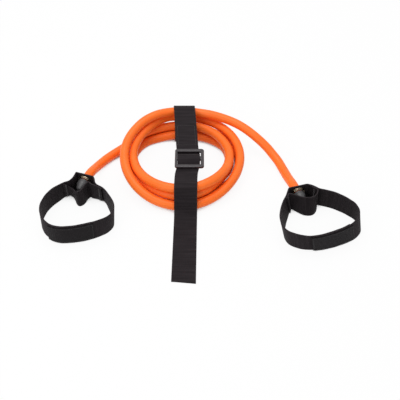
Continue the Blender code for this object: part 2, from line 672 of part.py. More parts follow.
def strap_lines(points, angles):
    # Three stretches of one strip, in (y, z): the sewn loop, the pass through the slider, the tail
    reach = TUBE_DIAMETER / 2 + SEAT_GAP + WEBBING_THICKNESS / 2
    layer = WEBBING_THICKNESS + SEAT_GAP
    under = -(WEBBING_THICKNESS / 2 + SEAT_GAP)
    over = SLIDER_THICKNESS + WEBBING_THICKNESS / 2 + SEAT_GAP
    half = SLIDER_LENGTH / 2
    ends = half + SLIDER_RUN_OUT

    outline = wrap_outline(turns_under(points, angles, 0, STRAP_WANDER[-1][1], STRAP_WANDER[-3][1]), reach)
    top = max(range(len(outline)), key=lambda index: outline[index][1])
    wrap = evenly_spaced(outline[:top + 1], STRAP_STEP)
    crest = wrap[-1]
    upper = np.array(slider_point(ends, under))
    slope = (crest - upper) / (crest[0] - upper[0])
    below = layer * math.sqrt(1 + slope[1] ** 2)
    stitched = [
        (y, upper[1] + slope[1] * (y - upper[0]) - below)
        for y in (STITCHED_END, (STITCHED_END + STITCHED_START) / 2, STITCHED_START)
    ]
    turn_down = [
        (wrap[0][0] - 0.26 * TUBE_DIAMETER, crest[1] - 0.65 * TUBE_DIAMETER),
        (wrap[0][0] + 0.02 * TUBE_DIAMETER, crest[1] - 1.43 * TUBE_DIAMETER),
    ]
    span = [crest + (upper - crest) * share for share in (0.10, 0.35, 0.65, 1.0)]
    loop = [*stitched, *turn_down, *wrap, *span]

    slot_out = half - SLIDER_END_BAR - 0.0008
    slot_in = SLIDER_MIDDLE_BAR / 2 + 0.0008
    through = [
        (ends - SEAT_GAP, under), (half - SLIDER_END_BAR + 0.0015, under), (slot_out, under + 0.00005),
        ((slot_out + slot_in) / 2, (under + over) / 2), (slot_in, over - 0.0001), (0.0015, over),
        (-0.0015, over), (-slot_in, over - 0.0001), (-(slot_out + slot_in) / 2, (under + over) / 2),
        (-slot_out, under + 0.00005), (-(half - SLIDER_END_BAR + 0.0015), under), (-ends, under),
    ]
    bridge = [slider_point(*place) for place in through]

    front = wrap_outline(turns_under(points, angles, 180, STRAP_WANDER[0][1], STRAP_WANDER[1][1]), reach)
    ridge = max(range(len(front)), key=lambda index: front[index][1])
    drape = [point for point in front[ridge:] if point[1] > TUBE_DIAMETER * 0.75]
    drape = evenly_spaced(drape, STRAP_STEP)
    lower = bridge[-1]
    run = drape[0] - lower
    meet = lower + run * 0.45
    bridge.append(tuple(meet - run / np.linalg.norm(run) * SEAT_GAP))
    rest = WEBBING_THICKNESS / 2
    foot = drape[-1]
    tail = [
        tuple(meet), tuple(lower + run * 0.75), *drape,
        (foot[0] - 0.0042, rest + 0.0036), (foot[0] - 0.0095, rest + 0.0006),
        (foot[0] - 0.0160, rest), (foot[0] - 0.0300, rest),
        (STRAP_TAIL_END + 0.0200, rest), (STRAP_TAIL_END, rest),
    ]
    return loop, bridge, tail


def strap_piece(name, line, material, skew=0.0):
    curve = smooth_curve(line, STRAP_STEP)
    wander_y, wander_x = zip(*STRAP_WANDER)
    middle = np.column_stack([
        np.interp(curve[:, 0], wander_y, wander_x),
        curve[:, 0],
        np.maximum(curve[:, 1], WEBBING_THICKNESS / 2),
    ])
    return ribbon(name, middle, (1, 0, 0), WEBBING_WIDTH, WEBBING_THICKNESS, material, skew)


def rounded_plate(name, width, length, thickness, corner, material):
    # A flat plate with round corners, its underside on Z = 0
    outline = []
    for quarter, (x, y) in enumerate(((1, 1), (-1, 1), (-1, -1), (1, -1))):
        for part in range(5):
            angle = math.radians(90 * quarter + 90 * part / 4)
            outline.append((x * (width / 2 - corner) + corner * math.cos(angle),
                            y * (length / 2 - corner) + corner * math.sin(angle)))
    count = len(outline)
    vertices = [(x, y, z) for z in (0.0, thickness) for x, y in outline]
    faces = [tuple(range(count))[::-1], tuple(range(count, 2 * count))]
    faces += [(i, (i + 1) % count, count + (i + 1) % count, count + i) for i in range(count)]
    return link_mesh(name, vertices, faces, material)


def strap_slider(name, material):
    body = rounded_plate(name, SLIDER_WIDTH, SLIDER_LENGTH, SLIDER_THICKNESS, SLIDER_CORNER, material)
    slot = SLIDER_LENGTH / 2 - SLIDER_END_BAR - SLIDER_MIDDLE_BAR / 2
    width = SLIDER_WIDTH - 2 * SLIDER_SIDE_BAR
    for label, way in (("_back_slot", 1), ("_front_slot", -1)):
        middle = (0, way * (SLIDER_MIDDLE_BAR + slot) / 2, SLIDER_THICKNESS / 2)
        cutter = box_mesh(name + label, (width, slot, 3 * SLIDER_THICKNESS), middle)
        cutter.parent = body
        cut_with(body, cutter)
    edge = body.modifiers.new("edge", "BEVEL")
    edge.width = SLIDER_EDGE
    edge.segments = 2
    edge.limit_method = "ANGLE"
    body.location = SLIDER_MIDDLE
    body.rotation_euler = (math.radians(SLIDER_TILT_DEG), 0, 0)
    return body


def centre_on_origin():
    # The middle of the box round everything but the tube comes to X = Y = 0; the table stays Z = 0
    bpy.context.view_layer.update()
    corners = []
    for body in bpy.data.objects:
        if body.type == "MESH" and not body.hide_render:
            corners += [body.matrix_world @ vertex.co for vertex in body.data.vertices]
    low = [min(corner[axis] for corner in corners) for axis in range(2)]
    high = [max(corner[axis] for corner in corners) for axis in range(2)]
    shift = Vector(((low[0] + high[0]) / 2, (low[1] + high[1]) / 2, 0.0))
    for body in bpy.data.objects:
        if body.parent is None:
            body.location -= shift
    print("shift to the origin, mm: %.4f %.4f" % (shift.x * 1000, shift.y * 1000))


for old in list(bpy.data.objects):
    bpy.data.objects.remove(old)

rubber = make_material("tube_rubber", (0.90, 0.10, 0.015), 0.38)
webbing = make_material("black_webbing", (0.020, 0.017, 0.018), 0.80)
finishes = {
    "webbing": webbing,
    "label": make_material("label_patch", (0.050, 0.046, 0.048), 0.55),
    "thread": make_material("black_thread", (0.030, 0.027, 0.028), 0.70),
    "brass": make_material("antique_brass", (0.36, 0.26, 0.13), 0.32, 1.0),
    "plug": make_material("stopper_plastic", (0.070, 0.070, 0.074), 0.45),
}
slider_plastic = make_material("slider_plastic", (0.045, 0.045, 0.047), 0.42)

coil, coil_angles = wind_coil()
tube_object("tube_coil", coil, 1, rubber)
left_eyelet = hand_set("left", LEFT, finishes)
right_eyelet = hand_set("right", RIGHT, finishes)
coil_tangents = tangents_of(coil)
right_lead = lead_points(coil[0], -coil_tangents[0], RIGHT_ROUTE, right_eyelet)
left_lead = lead_points(coil[-1], coil_tangents[-1], LEFT_ROUTE, left_eyelet)
tube_object("tube_right_lead", right_lead, 2, rubber)
tube_object("tube_left_lead", left_lead, 2, rubber)
tube_line = np.vstack([left_lead[::-1], coil[::-1], right_lead])
print("tube, least gap to itself, mm: %.3f" % (least_gap(tube_line) * 1000))
print("tube, length, m: %.3f" % lengths_along(tube_line)[-1])

sewn_line, bridge_line, tail_line = strap_lines(coil, coil_angles)
strap_piece("strap_sewn_loop", sewn_line, webbing)
strap_piece("strap_slider_bridge", bridge_line, webbing)
strap_piece("strap_tail", tail_line, webbing, STRAP_TAIL_SKEW)
hang_on(pivot_at("slider_axis", SLIDER_MIDDLE), [strap_slider("tri_glide", slider_plastic)])

centre_on_origin()
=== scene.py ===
import math

import bmesh
import bpy
import numpy as np
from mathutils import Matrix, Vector


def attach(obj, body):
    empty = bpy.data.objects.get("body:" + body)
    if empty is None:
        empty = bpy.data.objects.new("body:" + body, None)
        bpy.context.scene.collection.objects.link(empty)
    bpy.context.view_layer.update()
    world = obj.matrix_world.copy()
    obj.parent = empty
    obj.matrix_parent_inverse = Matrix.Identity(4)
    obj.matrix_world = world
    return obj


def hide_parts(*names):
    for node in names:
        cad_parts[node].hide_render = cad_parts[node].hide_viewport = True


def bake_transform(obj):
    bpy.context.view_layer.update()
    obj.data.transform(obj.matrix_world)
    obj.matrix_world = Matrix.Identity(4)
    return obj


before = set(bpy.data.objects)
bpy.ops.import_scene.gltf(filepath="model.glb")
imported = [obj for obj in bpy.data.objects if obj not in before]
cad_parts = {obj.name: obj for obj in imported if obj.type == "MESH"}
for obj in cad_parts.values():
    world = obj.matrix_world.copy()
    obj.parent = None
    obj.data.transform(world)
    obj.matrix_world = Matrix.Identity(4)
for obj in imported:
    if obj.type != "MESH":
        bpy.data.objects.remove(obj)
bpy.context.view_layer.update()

scene = bpy.context.scene
layoutZero = np.array([0.0007696, 0.0043656, 0.0])  # the model's zero, in the layout that the sizes use
print("frame loaded:", len(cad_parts), "solids")

# view
view = {
    "standsAt": (0.0, -0.6576, 0.6576),
    "tiltDeg": 45.0,
    "lens": 67.14,
    "sensor": 36.0,
    "nearest": 0.05,
    "farthest": 20.0,
}
cameraData = bpy.data.cameras.new("view")
cameraData.lens = view["lens"]
cameraData.sensor_width = view["sensor"]
cameraData.clip_start = view["nearest"]
cameraData.clip_end = view["farthest"]
camera = bpy.data.objects.new("view", cameraData)
camera.location = Vector(view["standsAt"]) - Vector(layoutZero)
camera.rotation_euler = (math.radians(view["tiltDeg"]), 0.0, 0.0)
scene.collection.objects.link(camera)
scene.camera = camera
print("camera set")


# node trees: a wrapped socket does arithmetic, and one method adds any other node
class Wire:
    def __init__(self, owner, socket):
        self.owner = owner
        self.socket = socket

    def __add__(self, other):
        return self.owner.maths("ADD", self, other)

    def __sub__(self, other):
        return self.owner.maths("SUBTRACT", self, other)

    def __mul__(self, other):
        return self.owner.maths("MULTIPLY", self, other)

    def __rsub__(self, other):
        return self.owner.maths("SUBTRACT", other, self)

    __radd__ = __add__
    __rmul__ = __mul__


class NodeTree:
    def __init__(self, tree):
        self.tree = tree

    def put(self, socket, value):
        if isinstance(value, Wire):
            self.tree.links.new(value.socket, socket)
        else:
            socket.default_value = value

    def node(self, kind, settings=None, values=None, out=0):
        made = self.tree.nodes.new(kind)
        for key, value in (settings or {}).items():
            setattr(made, key, value)
        for key, value in (values or {}).items():
            self.put(made.inputs[key], value)
        return Wire(self, made.outputs[out]) if made.outputs else None

    def beside(self, wire, out):
        # another output of the node that a wire comes from
        return Wire(self, wire.socket.node.outputs[out])

    def maths(self, operation, *values):
        return self.node("ShaderNodeMath", {"operation": operation}, dict(enumerate(values)))

    def atMost(self, value, most):
        return self.maths("MINIMUM", value, most)

    def vector(self, x, y, z=0.0):
        return self.node("ShaderNodeCombineXYZ", {}, {0: x, 1: y, 2: z})

    def seenRays(self):
        # 1 where the camera, a reflection or glass looks, 0 for the light that falls on things
        seen = self.node("ShaderNodeLightPath", {}, {}, "Is Camera Ray")
        mirrored = self.beside(seen, "Is Glossy Ray") + self.beside(seen, "Is Transmission Ray")
        return self.atMost(seen + mirrored, 1.0)


class Finish(NodeTree):
    def __init__(self, name):
        self.material = bpy.data.materials.new(name)
        self.material.use_nodes = True
        super().__init__(self.material.node_tree)
        self.shader = self.tree.nodes["Principled BSDF"]

    def noise(self, where, scale, detail, roughness):
        return self.node("ShaderNodeTexNoise", {}, {
            "Vector": where, "Scale": scale, "Detail": detail, "Roughness": roughness,
        })

    def wave(self, value):
        # from 0 to 1 and back with each whole step of the value
        return self.maths("SINE", value * (2 * math.pi)) * 0.5 + 0.5

    def mix(self, share, first, second):
        return self.node("ShaderNodeMix", {"data_type": "RGBA"}, {0: share, 6: first, 7: second}, 2)

    def objectPlace(self):
        return self.node("ShaderNodeTexCoord", {}, {}, "Object")

    def clothPlace(self):
        # metres along a swept piece, and metres across or round it
        place = self.node("ShaderNodeUVMap", {"uv_map": "cloth"})
        along = self.node("ShaderNodeSeparateXYZ", {}, {0: place})
        return along, self.beside(along, 1)

    def around(self, noise, middle, spread):
        # the middle value where the noise is a half, and half the spread to each side of it
        return noise * spread + (middle - spread / 2)

    def relief(self, height, depth, strength):
        return self.node("ShaderNodeBump", {}, {"Height": height, "Distance": depth, "Strength": strength})

    def surface(self, **values):
        for key, value in values.items():
            self.put(self.shader.inputs[key.replace("_", " ")], value)
        return self.material


def grey(value):
    return (value, value, value, 1.0)


# lines
def unit(vectors):
    return vectors / np.linalg.norm(vectors, axis=-1, keepdims=True)


def smoothCurve(points, step):
    # centripetal Catmull-Rom through the points, in pieces of at most one step
    points = [np.asarray(point, float) for point in points]
    ends = [2 * points[0] - points[1]] + points + [2 * points[-1] - points[-2]]
    curve = [points[0]]
    for before, start, end, after in zip(ends, ends[1:], ends[2:], ends[3:]):
        knots = [0.0]
        for first, second in ((before, start), (start, end), (end, after)):
            knots.append(knots[-1] + math.sqrt(np.linalg.norm(second - first)))
        pieces = max(1, math.ceil(np.linalg.norm(end - start) / step - 1e-6))
        for piece in range(1, pieces + 1):
            t = knots[1] + (knots[2] - knots[1]) * piece / pieces
            low = (before * (knots[1] - t) + start * t) / knots[1]
            mid = (start * (knots[2] - t) + end * (t - knots[1])) / (knots[2] - knots[1])
            high = (end * (knots[3] - t) + after * (t - knots[2])) / (knots[3] - knots[2])
            near = (low * (knots[2] - t) + mid * t) / knots[2]
            far = (mid * (knots[3] - t) + high * (t - knots[1])) / (knots[3] - knots[1])
            curve.append((near * (knots[2] - t) + far * (t - knots[1])) / (knots[2] - knots[1]))
    return np.array(curve)


def lengthsAlong(points):
    steps = np.linalg.norm(np.diff(points, axis=0), axis=1)
    return np.concatenate([[0.0], np.cumsum(steps)])


def atLength(points, lengths, wanted):
    return np.column_stack([np.interp(wanted, lengths, points[:, axis]) for axis in range(points.shape[1])])


def evenlySpaced(points, step):
    points = np.asarray(points, float)
    lengths = lengthsAlong(points)
    count = max(1, round(lengths[-1] / step))
    return atLength(points, lengths, np.linspace(0.0, lengths[-1], count + 1))


def tangentsOf(points):
    return unit(np.gradient(points, axis=0))


def softened(points, rounds):
    # the points between the ends draw towards their neighbours
    points = np.array(points, float)
    for _ in range(rounds):
        points[1:-1] += 0.25 * (points[:-2] + points[2:] - 2 * points[1:-1])
    return points


# meshes
sharpFromDeg = {"round": 50, "band": 55, "turned": 35}


def linkObject(name, mesh):
    body = bpy.data.objects.new(name, mesh)
    scene.collection.objects.link(body)
    return body


def modelledMesh(name, body):
    # what the body's modifiers make of it, as a plain mesh
    bpy.context.view_layer.update()
    graph = bpy.context.evaluated_depsgraph_get()
    shaped = body.evaluated_get(graph)
    mesh = bpy.data.meshes.new_from_object(shaped, depsgraph=graph)
    mesh.name = name
    return mesh


def smoothFaces(mesh, sharpDeg):
    mesh.shade_smooth()
    mesh.set_sharp_from_angle(angle=math.radians(sharpDeg))


def linkMesh(name, vertices, faces, material, sharpDeg=None, uv=None, rim=None, zero=layoutZero):
    mesh = bpy.data.meshes.new(name)
    mesh.from_pydata((np.asarray(vertices, float) - zero).tolist(), [], faces)
    if rim is not None:
        layer = mesh.attributes.new("rim", "FLOAT", "POINT")
        layer.data.foreach_set("value", np.asarray(rim, np.float32))
    if uv is not None:
        layer = mesh.uv_layers.new(name="cloth")
        corners = np.zeros(len(mesh.loops), np.int32)
        mesh.loops.foreach_get("vertex_index", corners)
        layer.data.foreach_set("uv", np.asarray(uv, np.float32)[corners].ravel())
    work = bmesh.new()
    work.from_mesh(mesh)
    bmesh.ops.recalc_face_normals(work, faces=work.faces)
    work.to_mesh(mesh)
    work.free()
    if sharpDeg is not None:
        smoothFaces(mesh, sharpDeg)
    mesh.materials.append(material)
    return linkObject(name, mesh)


def sleeveFaces(rings, size):
    # quads between rings of one size, and a flat face over each end
    faces = []
    for low in range(0, (rings - 1) * size, size):
        for corner in range(size):
            after = (corner + 1) % size
            faces.append((low + corner, low + after, low + size + after, low + size + corner))
    return [*faces, tuple(range(size))[::-1], tuple(range((rings - 1) * size, rings * size))]


def sweepRound(name, line, radius, sides, material):
    # rings carried along the line without twisting
    forward = tangentsOf(line)
    side = unit(np.cross(forward[0], (0.0, 0.0, 1.0)))
    turns = 2 * math.pi * np.arange(sides) / sides
    vertices, uv = [], []
    for place, ahead, along in zip(line, forward, lengthsAlong(line)):
        side = unit(side - ahead * np.dot(side, ahead))
        third = np.cross(ahead, side)
        vertices.append(place + radius * (np.outer(np.cos(turns), side) + np.outer(np.sin(turns), third)))
        uv.append(np.column_stack([np.full(sides, along), turns * radius]))
    faces = sleeveFaces(len(line), sides)
    return linkMesh(name, np.vstack(vertices), faces, material, sharpFromDeg["round"], np.vstack(uv))


bandShape = {  # across the webbing: share of the half width, share of the half thickness
    "shares": (-1.0, -0.988, -0.962, -0.925, -0.70, -0.35, 0.0, 0.35, 0.70, 0.925, 0.962, 0.988, 1.0),
    "thick": (0.30, 0.78, 1.0, 1.0, 0.97, 0.97, 0.97, 0.97, 0.97, 1.0, 1.0, 0.78, 0.30),
}


def sweepBand(name, middle, across, widths, thickness, material, startsAt=0.0, slant=0.0):
    # flat webbing along a line: across lies along its width, and slant shears its last edge
    middle = np.asarray(middle, float)
    across = np.broadcast_to(np.asarray(across, float), middle.shape)
    forward = tangentsOf(middle)
    normal = unit(np.cross(forward, across))
    shares = np.array(bandShape["shares"])
    thick = np.array(bandShape["thick"]) * thickness / 2
    ringShares = np.concatenate([shares, shares[::-1]])
    ringThick = np.concatenate([thick, -thick[::-1]])
    offsets = np.outer(np.broadcast_to(widths, len(middle)) / 2, ringShares)
    rings = middle[:, None] + offsets[..., None] * across[:, None] + ringThick[:, None] * normal[:, None]
    rings[-1] += np.outer(ringShares * slant, forward[-1])
    lengths = startsAt + lengthsAlong(middle)
    uv = np.stack([np.broadcast_to(lengths[:, None], offsets.shape), offsets], axis=-1)
    return linkMesh(
        name, rings.reshape(-1, 3), sleeveFaces(*offsets.shape), material, sharpFromDeg["band"],
        uv.reshape(-1, 2), np.tile(np.abs(ringShares), len(middle)),
    )


turnedShape = {"sides": 72, "cornerSteps": 4, "cornerShare": 0.45}


def turnedRing(name, profile, middle, axis, material):
    # (radius, place along the axis) turned once round; radius 0 closes it
    sides = turnedShape["sides"]
    side = unit(np.cross(axis, (0.0, 0.0, 1.0)))
    third = np.cross(axis, side)
    vertices, rings = [], []
    for radius, along in profile:
        count = sides if radius > 0 else 1
        rings.append([len(vertices) + index for index in range(count)])
        for index in range(count):
            angle = 2 * math.pi * index / sides
            around = side * math.cos(angle) + third * math.sin(angle)
            vertices.append(middle + axis * along + around * radius)
    faces = []
    joined = rings + rings[:1] if profile[0][0] > 0 else rings
    for one, two in zip(joined, joined[1:]):
        for index in range(sides):
            after = (index + 1) % sides
            corners = ((one, index), (one, after), (two, after), (two, index))
            face = list(dict.fromkeys(ring[place % len(ring)] for ring, place in corners))
            if len(face) > 2:
                faces.append(face)
    return linkMesh(name, vertices, faces, material, sharpFromDeg["turned"])


def roundedProfile(corners, ease):
    # each corner of a closed profile rounded by at most ease, and by less where a side is short
    most = turnedShape["cornerShare"]
    corners = [np.array(corner, float) for corner in corners]
    made = []
    for index, corner in enumerate(corners):
        before = corners[index - 1] - corner
        after = corners[(index + 1) % len(corners)] - corner
        reach = min(ease, most * np.linalg.norm(before), most * np.linalg.norm(after))
        start = corner + unit(before) * reach
        end = corner + unit(after) * reach
        for t in np.linspace(0.0, 1.0, turnedShape["cornerSteps"] + 1):
            made.append(tuple((1 - t) ** 2 * start + 2 * t * (1 - t) * corner + t ** 2 * end))
    return made


# stitches: one Geometry Nodes tree lays a thread bead at every marked point
beadSides = {"Segments": 7, "Rings": 5}
usualThread = {"Stitch length": 0.0026, "Thread radius": 0.0003}


def stitchTree(name):
    group = bpy.data.node_groups.new(name, "GeometryNodeTree")
    face = group.interface
    face.new_socket("Geometry", in_out="INPUT", socket_type="NodeSocketGeometry")
    sizes = {}
    for label, value in usualThread.items():
        socket = face.new_socket(label, in_out="INPUT", socket_type="NodeSocketFloat")
        socket.default_value = value
        sizes[label] = socket.identifier
    paint = face.new_socket("Thread", in_out="INPUT", socket_type="NodeSocketMaterial")
    sizes["Thread"] = paint.identifier
    face.new_socket("Geometry", in_out="OUTPUT", socket_type="NodeSocketGeometry")
    tree = NodeTree(group)
    marks = tree.node("NodeGroupInput")
    length, radius, thread = (tree.beside(marks, label) for label in sizes)
    bead = tree.node("GeometryNodeMeshUVSphere", {}, {**beadSides, "Radius": 1.0})
    along, outward = (
        tree.node("GeometryNodeInputNamedAttribute", {"data_type": "FLOAT_VECTOR"}, {"Name": label})
        for label in ("along", "outward")
    )
    turn = tree.node(
        "FunctionNodeAxesToRotation", {"primary_axis": "X", "secondary_axis": "Z"}, {0: along, 1: outward},
    )
    laid = tree.node("GeometryNodeInstanceOnPoints", {}, {
        "Points": marks, "Instance": bead, "Rotation": turn,
        "Scale": tree.vector(length * 0.5, radius, radius),
    })
    real = tree.node("GeometryNodeRealizeInstances", {}, {0: laid})
    smooth = tree.node("GeometryNodeSetShadeSmooth", {}, {0: real})
    painted = tree.node("GeometryNodeSetMaterial", {}, {"Geometry": smooth, "Material": thread})
    tree.node("NodeGroupOutput", {}, {0: painted})
    return group, sizes


sewing, sewingSockets = stitchTree("sewnRow")


def sewn(name, rows, length, radius, material):
    # rows of marked points, with the way each stitch runs and faces, become one plain mesh of thread
    places, along, outward = (np.vstack(parts) for parts in zip(*rows))
    mesh = bpy.data.meshes.new(name + "Marks")
    mesh.from_pydata((places - layoutZero).tolist(), [], [])
    for label, vectors in (("along", along), ("outward", outward)):
        layer = mesh.attributes.new(label, "FLOAT_VECTOR", "POINT")
        layer.data.foreach_set("vector", vectors.astype(np.float32).ravel())
    marks = linkObject(name + "Marks", mesh)
    beads = marks.modifiers.new("sewn", "NODES")
    beads.node_group = sewing
    beads[sewingSockets["Stitch length"]] = length
    beads[sewingSockets["Thread radius"]] = radius
    beads[sewingSockets["Thread"]] = material
    marks.update_tag()
    baked = modelledMesh(name, marks)
    for label in ("along", "outward"):
        layer = baked.attributes.get(label)
        if layer:
            baked.attributes.remove(layer)
    bpy.data.objects.remove(marks)
    return linkObject(name, baked)


def stitchesAlong(points, normals, pitch):
    # stitch middles, directions and outward vectors along a line on a surface
    points = np.asarray(points, float)
    normals = np.broadcast_to(np.asarray(normals, float), points.shape)
    lengths = lengthsAlong(points)
    count = max(1, round(lengths[-1] / pitch))
    wanted = (np.arange(count) + 0.5) * lengths[-1] / count
    near = 1e-4  # far enough on each side to show which way the line runs
    ahead = atLength(points, lengths, wanted + near) - atLength(points, lengths, wanted - near)
    return atLength(points, lengths, wanted), unit(ahead), unit(atLength(normals, lengths, wanted))


# finishes: a noise is its scale, detail and roughness, a roughness its middle value and its spread, and a
# relief its depth and strength
rubberLook = {
    "orange": (1.0, 0.198, 0.025, 1.0),
    "deep": (0.98, 0.152, 0.014, 1.0),
    "mottle": (55.0, 3.0, 0.55),
    "linesAlong": 9.0,
    "linesAround": 700.0,
    "lines": (1.0, 2.0, 0.6),
    "speck": (900.0, 2.0, 0.6),
    "deepShare": 1.1,
    "linesShare": 0.7,
    "roughness": (0.42, 0.10),
    "linesSpread": 0.06,
    "relief": (0.000012, 0.6),
}


def tubeRubber():
    finish = Finish("tubeRubber")
    along, around = finish.clothPlace()
    place = finish.objectPlace()
    mottle = finish.noise(place, *rubberLook["mottle"])
    drawn = finish.vector(along * rubberLook["linesAlong"], around * rubberLook["linesAround"])
    lines = finish.noise(drawn, *rubberLook["lines"])
    speck = finish.noise(place, *rubberLook["speck"])
    deep = finish.atMost(mottle * rubberLook["deepShare"], 1.0)
    roughness = finish.around(mottle, *rubberLook["roughness"])
    height = lines * rubberLook["linesShare"] + speck * (1.0 - rubberLook["linesShare"])
    return finish.surface(
        Base_Color=finish.mix(deep, rubberLook["orange"], rubberLook["deep"]),
        Roughness=roughness + finish.around(lines, 0.0, rubberLook["linesSpread"]),
        Normal=finish.relief(height, *rubberLook["relief"]),
        Specular_IOR_Level=0.25,
    )


webbingLook = {
    "yarn": (0.0115, 0.0085, 0.0098, 1.0),
    "worn": (0.033, 0.026, 0.029, 1.0),
    "columnWidth": 0.00125,
    "chevronLength": 0.0021,
    "chevronLean": 0.42,
    "selvedgeSteepness": 26.0,
    "patches": (70.0, 3.0, 0.6),
    "fuzz": (2600.0, 2.0, 0.7),
    "ribsAlong": 330.0,
    "ribsAcross": 22.0,
    "ribs": (1.0, 1.0, 0.5),
    "wear": {"selvedge": 0.55, "patches": 0.30, "weave": 0.22, "ribs": 1.1, "less": 0.10},
    "yarnShare": 0.55,
    "fuzzShare": 0.25,
    "roughness": (0.72, 0.12),
    "relief": (0.00022, 0.85),
}


def wovenWebbing():
    finish = Finish("blackWebbing")
    along, across = finish.clothPlace()
    place = finish.objectPlace()

    # chevrons of yarn that lean one way and the other in neighbouring columns
    columns = across * (1.0 / webbingLook["columnWidth"])
    column = finish.maths("FLOOR", columns)
    part = columns - column
    lean = finish.maths("FRACT", column * 0.5) * 4.0 - 1.0
    twist = along * (1.0 / webbingLook["chevronLength"]) + lean * (part - 0.5) * webbingLook["chevronLean"]
    yarn = webbingLook["yarnShare"]
    weave = finish.wave(twist) * yarn + finish.maths("SINE", part * math.pi) * (1.0 - yarn)

    rim = finish.node("ShaderNodeAttribute", {"attribute_name": "rim"}, {}, "Fac")
    selvedge = finish.maths("POWER", rim, webbingLook["selvedgeSteepness"])
    patches = finish.noise(place, *webbingLook["patches"])
    fuzz = finish.noise(place, *webbingLook["fuzz"])
    ribPlace = finish.vector(along * webbingLook["ribsAlong"], across * webbingLook["ribsAcross"])
    ribs = finish.noise(ribPlace, *webbingLook["ribs"])
    share = webbingLook["wear"]
    wear = selvedge * share["selvedge"] + patches * share["patches"] + weave * share["weave"]
    wear = wear + ribs * share["ribs"] - (share["less"] + share["ribs"] / 2)
    return finish.surface(
        Base_Color=finish.mix(finish.atMost(wear, 1.0), webbingLook["yarn"], webbingLook["worn"]),
        Roughness=finish.around(patches, *webbingLook["roughness"]),
        Normal=finish.relief(weave + fuzz * webbingLook["fuzzShare"], *webbingLook["relief"]),
        Specular_IOR_Level=0.12,
        Sheen_Weight=0.02,
        Sheen_Roughness=0.45,
        Sheen_Tint=(0.80, 0.70, 0.76, 1.0),
    )


threadLook = {
    "black": (0.012, 0.009, 0.010, 1.0),
    "shine": (0.036, 0.030, 0.033, 1.0),
    "strands": (1800.0, 2.0, 0.6),
    "roughness": (0.505, 0.15),
    "relief": (0.00008, 0.6),
}


def sewingThread():
    finish = Finish("sewingThread")
    strands = finish.noise(finish.objectPlace(), *threadLook["strands"])
    return finish.surface(
        Base_Color=finish.mix(strands, threadLook["black"], threadLook["shine"]),
        Roughness=finish.around(strands, *threadLook["roughness"]),
        Normal=finish.relief(strands, *threadLook["relief"]),
    )


labelLook = {
    "ground": (0.0055, 0.0044, 0.0050, 1.0),
    "float": (0.0150, 0.0122, 0.0136, 1.0),
    "warpWidth": 0.00030,
    "weftWidth": 0.00048,
    "slub": (240.0, 3.0, 0.6),
    "warpShare": 0.6,
    "lighter": {"weave": 0.35, "slub": 0.4},
    "slubHeight": 0.3,
    "roughness": (0.50, 0.14),
    "relief": (0.00007, 0.8),
}


def labelSatin():
    finish = Finish("labelSatin")
    along, across = finish.clothPlace()
    warp = finish.wave(across * (1.0 / labelLook["warpWidth"]))
    weft = finish.wave(along * (1.0 / labelLook["weftWidth"]))
    slub = finish.noise(finish.objectPlace(), *labelLook["slub"])
    weave = warp * labelLook["warpShare"] + weft * (1.0 - labelLook["warpShare"])
    light = weave * labelLook["lighter"]["weave"] + slub * labelLook["lighter"]["slub"]
    return finish.surface(
        Base_Color=finish.mix(light, labelLook["ground"], labelLook["float"]),
        Roughness=finish.around(slub, *labelLook["roughness"]),
        Normal=finish.relief(weave + slub * labelLook["slubHeight"], *labelLook["relief"]),
        Specular_IOR_Level=0.10,
    )


brassLook = {
    "bright": (0.66, 0.55, 0.40, 1.0),
    "dark": (0.060, 0.040, 0.026, 1.0),
    "tarnish": (420.0, 4.0, 0.65),
    "grain": (3000.0, 2.0, 0.6),
    "tarnishContrast": 1.5,
    "tarnishFrom": 0.36,
    "mostTarnished": 0.85,
    "roughness": (0.27, 0.22),
    "relief": (0.00002, 0.5),
}


def agedBrass():
    finish = Finish("agedBrass")
    place = finish.objectPlace()
    tarnish = finish.noise(place, *brassLook["tarnish"])
    share = tarnish * brassLook["tarnishContrast"] - brassLook["tarnishFrom"]
    return finish.surface(
        Base_Color=finish.mix(
            finish.atMost(share, brassLook["mostTarnished"]), brassLook["bright"], brassLook["dark"],
        ),
        Metallic=1.0,
        Roughness=finish.around(tarnish, *brassLook["roughness"]),
        Normal=finish.relief(finish.noise(place, *brassLook["grain"]), *brassLook["relief"]),
    )


plasticLook = {
    "spark": (1500.0, 2.0, 0.6),
    "flow": (90.0, 3.0, 0.55),
    "relief": (0.00004, 0.5),
}
plugLook = {
    "light": (0.070, 0.068, 0.070, 1.0),
    "dark": (0.040, 0.038, 0.040, 1.0),
    "roughness": (0.42, 0.14),
}
sliderLook = {
    "light": (0.029, 0.022, 0.025, 1.0),
    "dark": (0.017, 0.012, 0.014, 1.0),
    "roughness": (0.36, 0.14),
}


def mouldedPlastic(name, look):
    finish = Finish(name)
    place = finish.objectPlace()
    flow = finish.noise(place, *plasticLook["flow"])
    return finish.surface(
        Base_Color=finish.mix(flow, look["dark"], look["light"]),
        Roughness=finish.around(flow, *look["roughness"]),
        Normal=finish.relief(finish.noise(place, *plasticLook["spark"]), *plasticLook["relief"]),
        IOR=1.5,
    )


rubber = tubeRubber()
webbing = wovenWebbing()
thread = sewingThread()
satin = labelSatin()
brass = agedBrass()
plugPlastic = mouldedPlastic("plugPlastic", plugLook)
sliderPlastic = mouldedPlastic("sliderPlastic", sliderLook)
print("finishes made")


# stock
stock = {"tubeDiameter": 0.0115, "webbingWidth": 0.0280, "webbingThickness": 0.0016, "gap": 0.0003}
tubeRadius = stock["tubeDiameter"] / 2
webWidth = stock["webbingWidth"]
webThick = stock["webbingThickness"]
gap = stock["gap"]


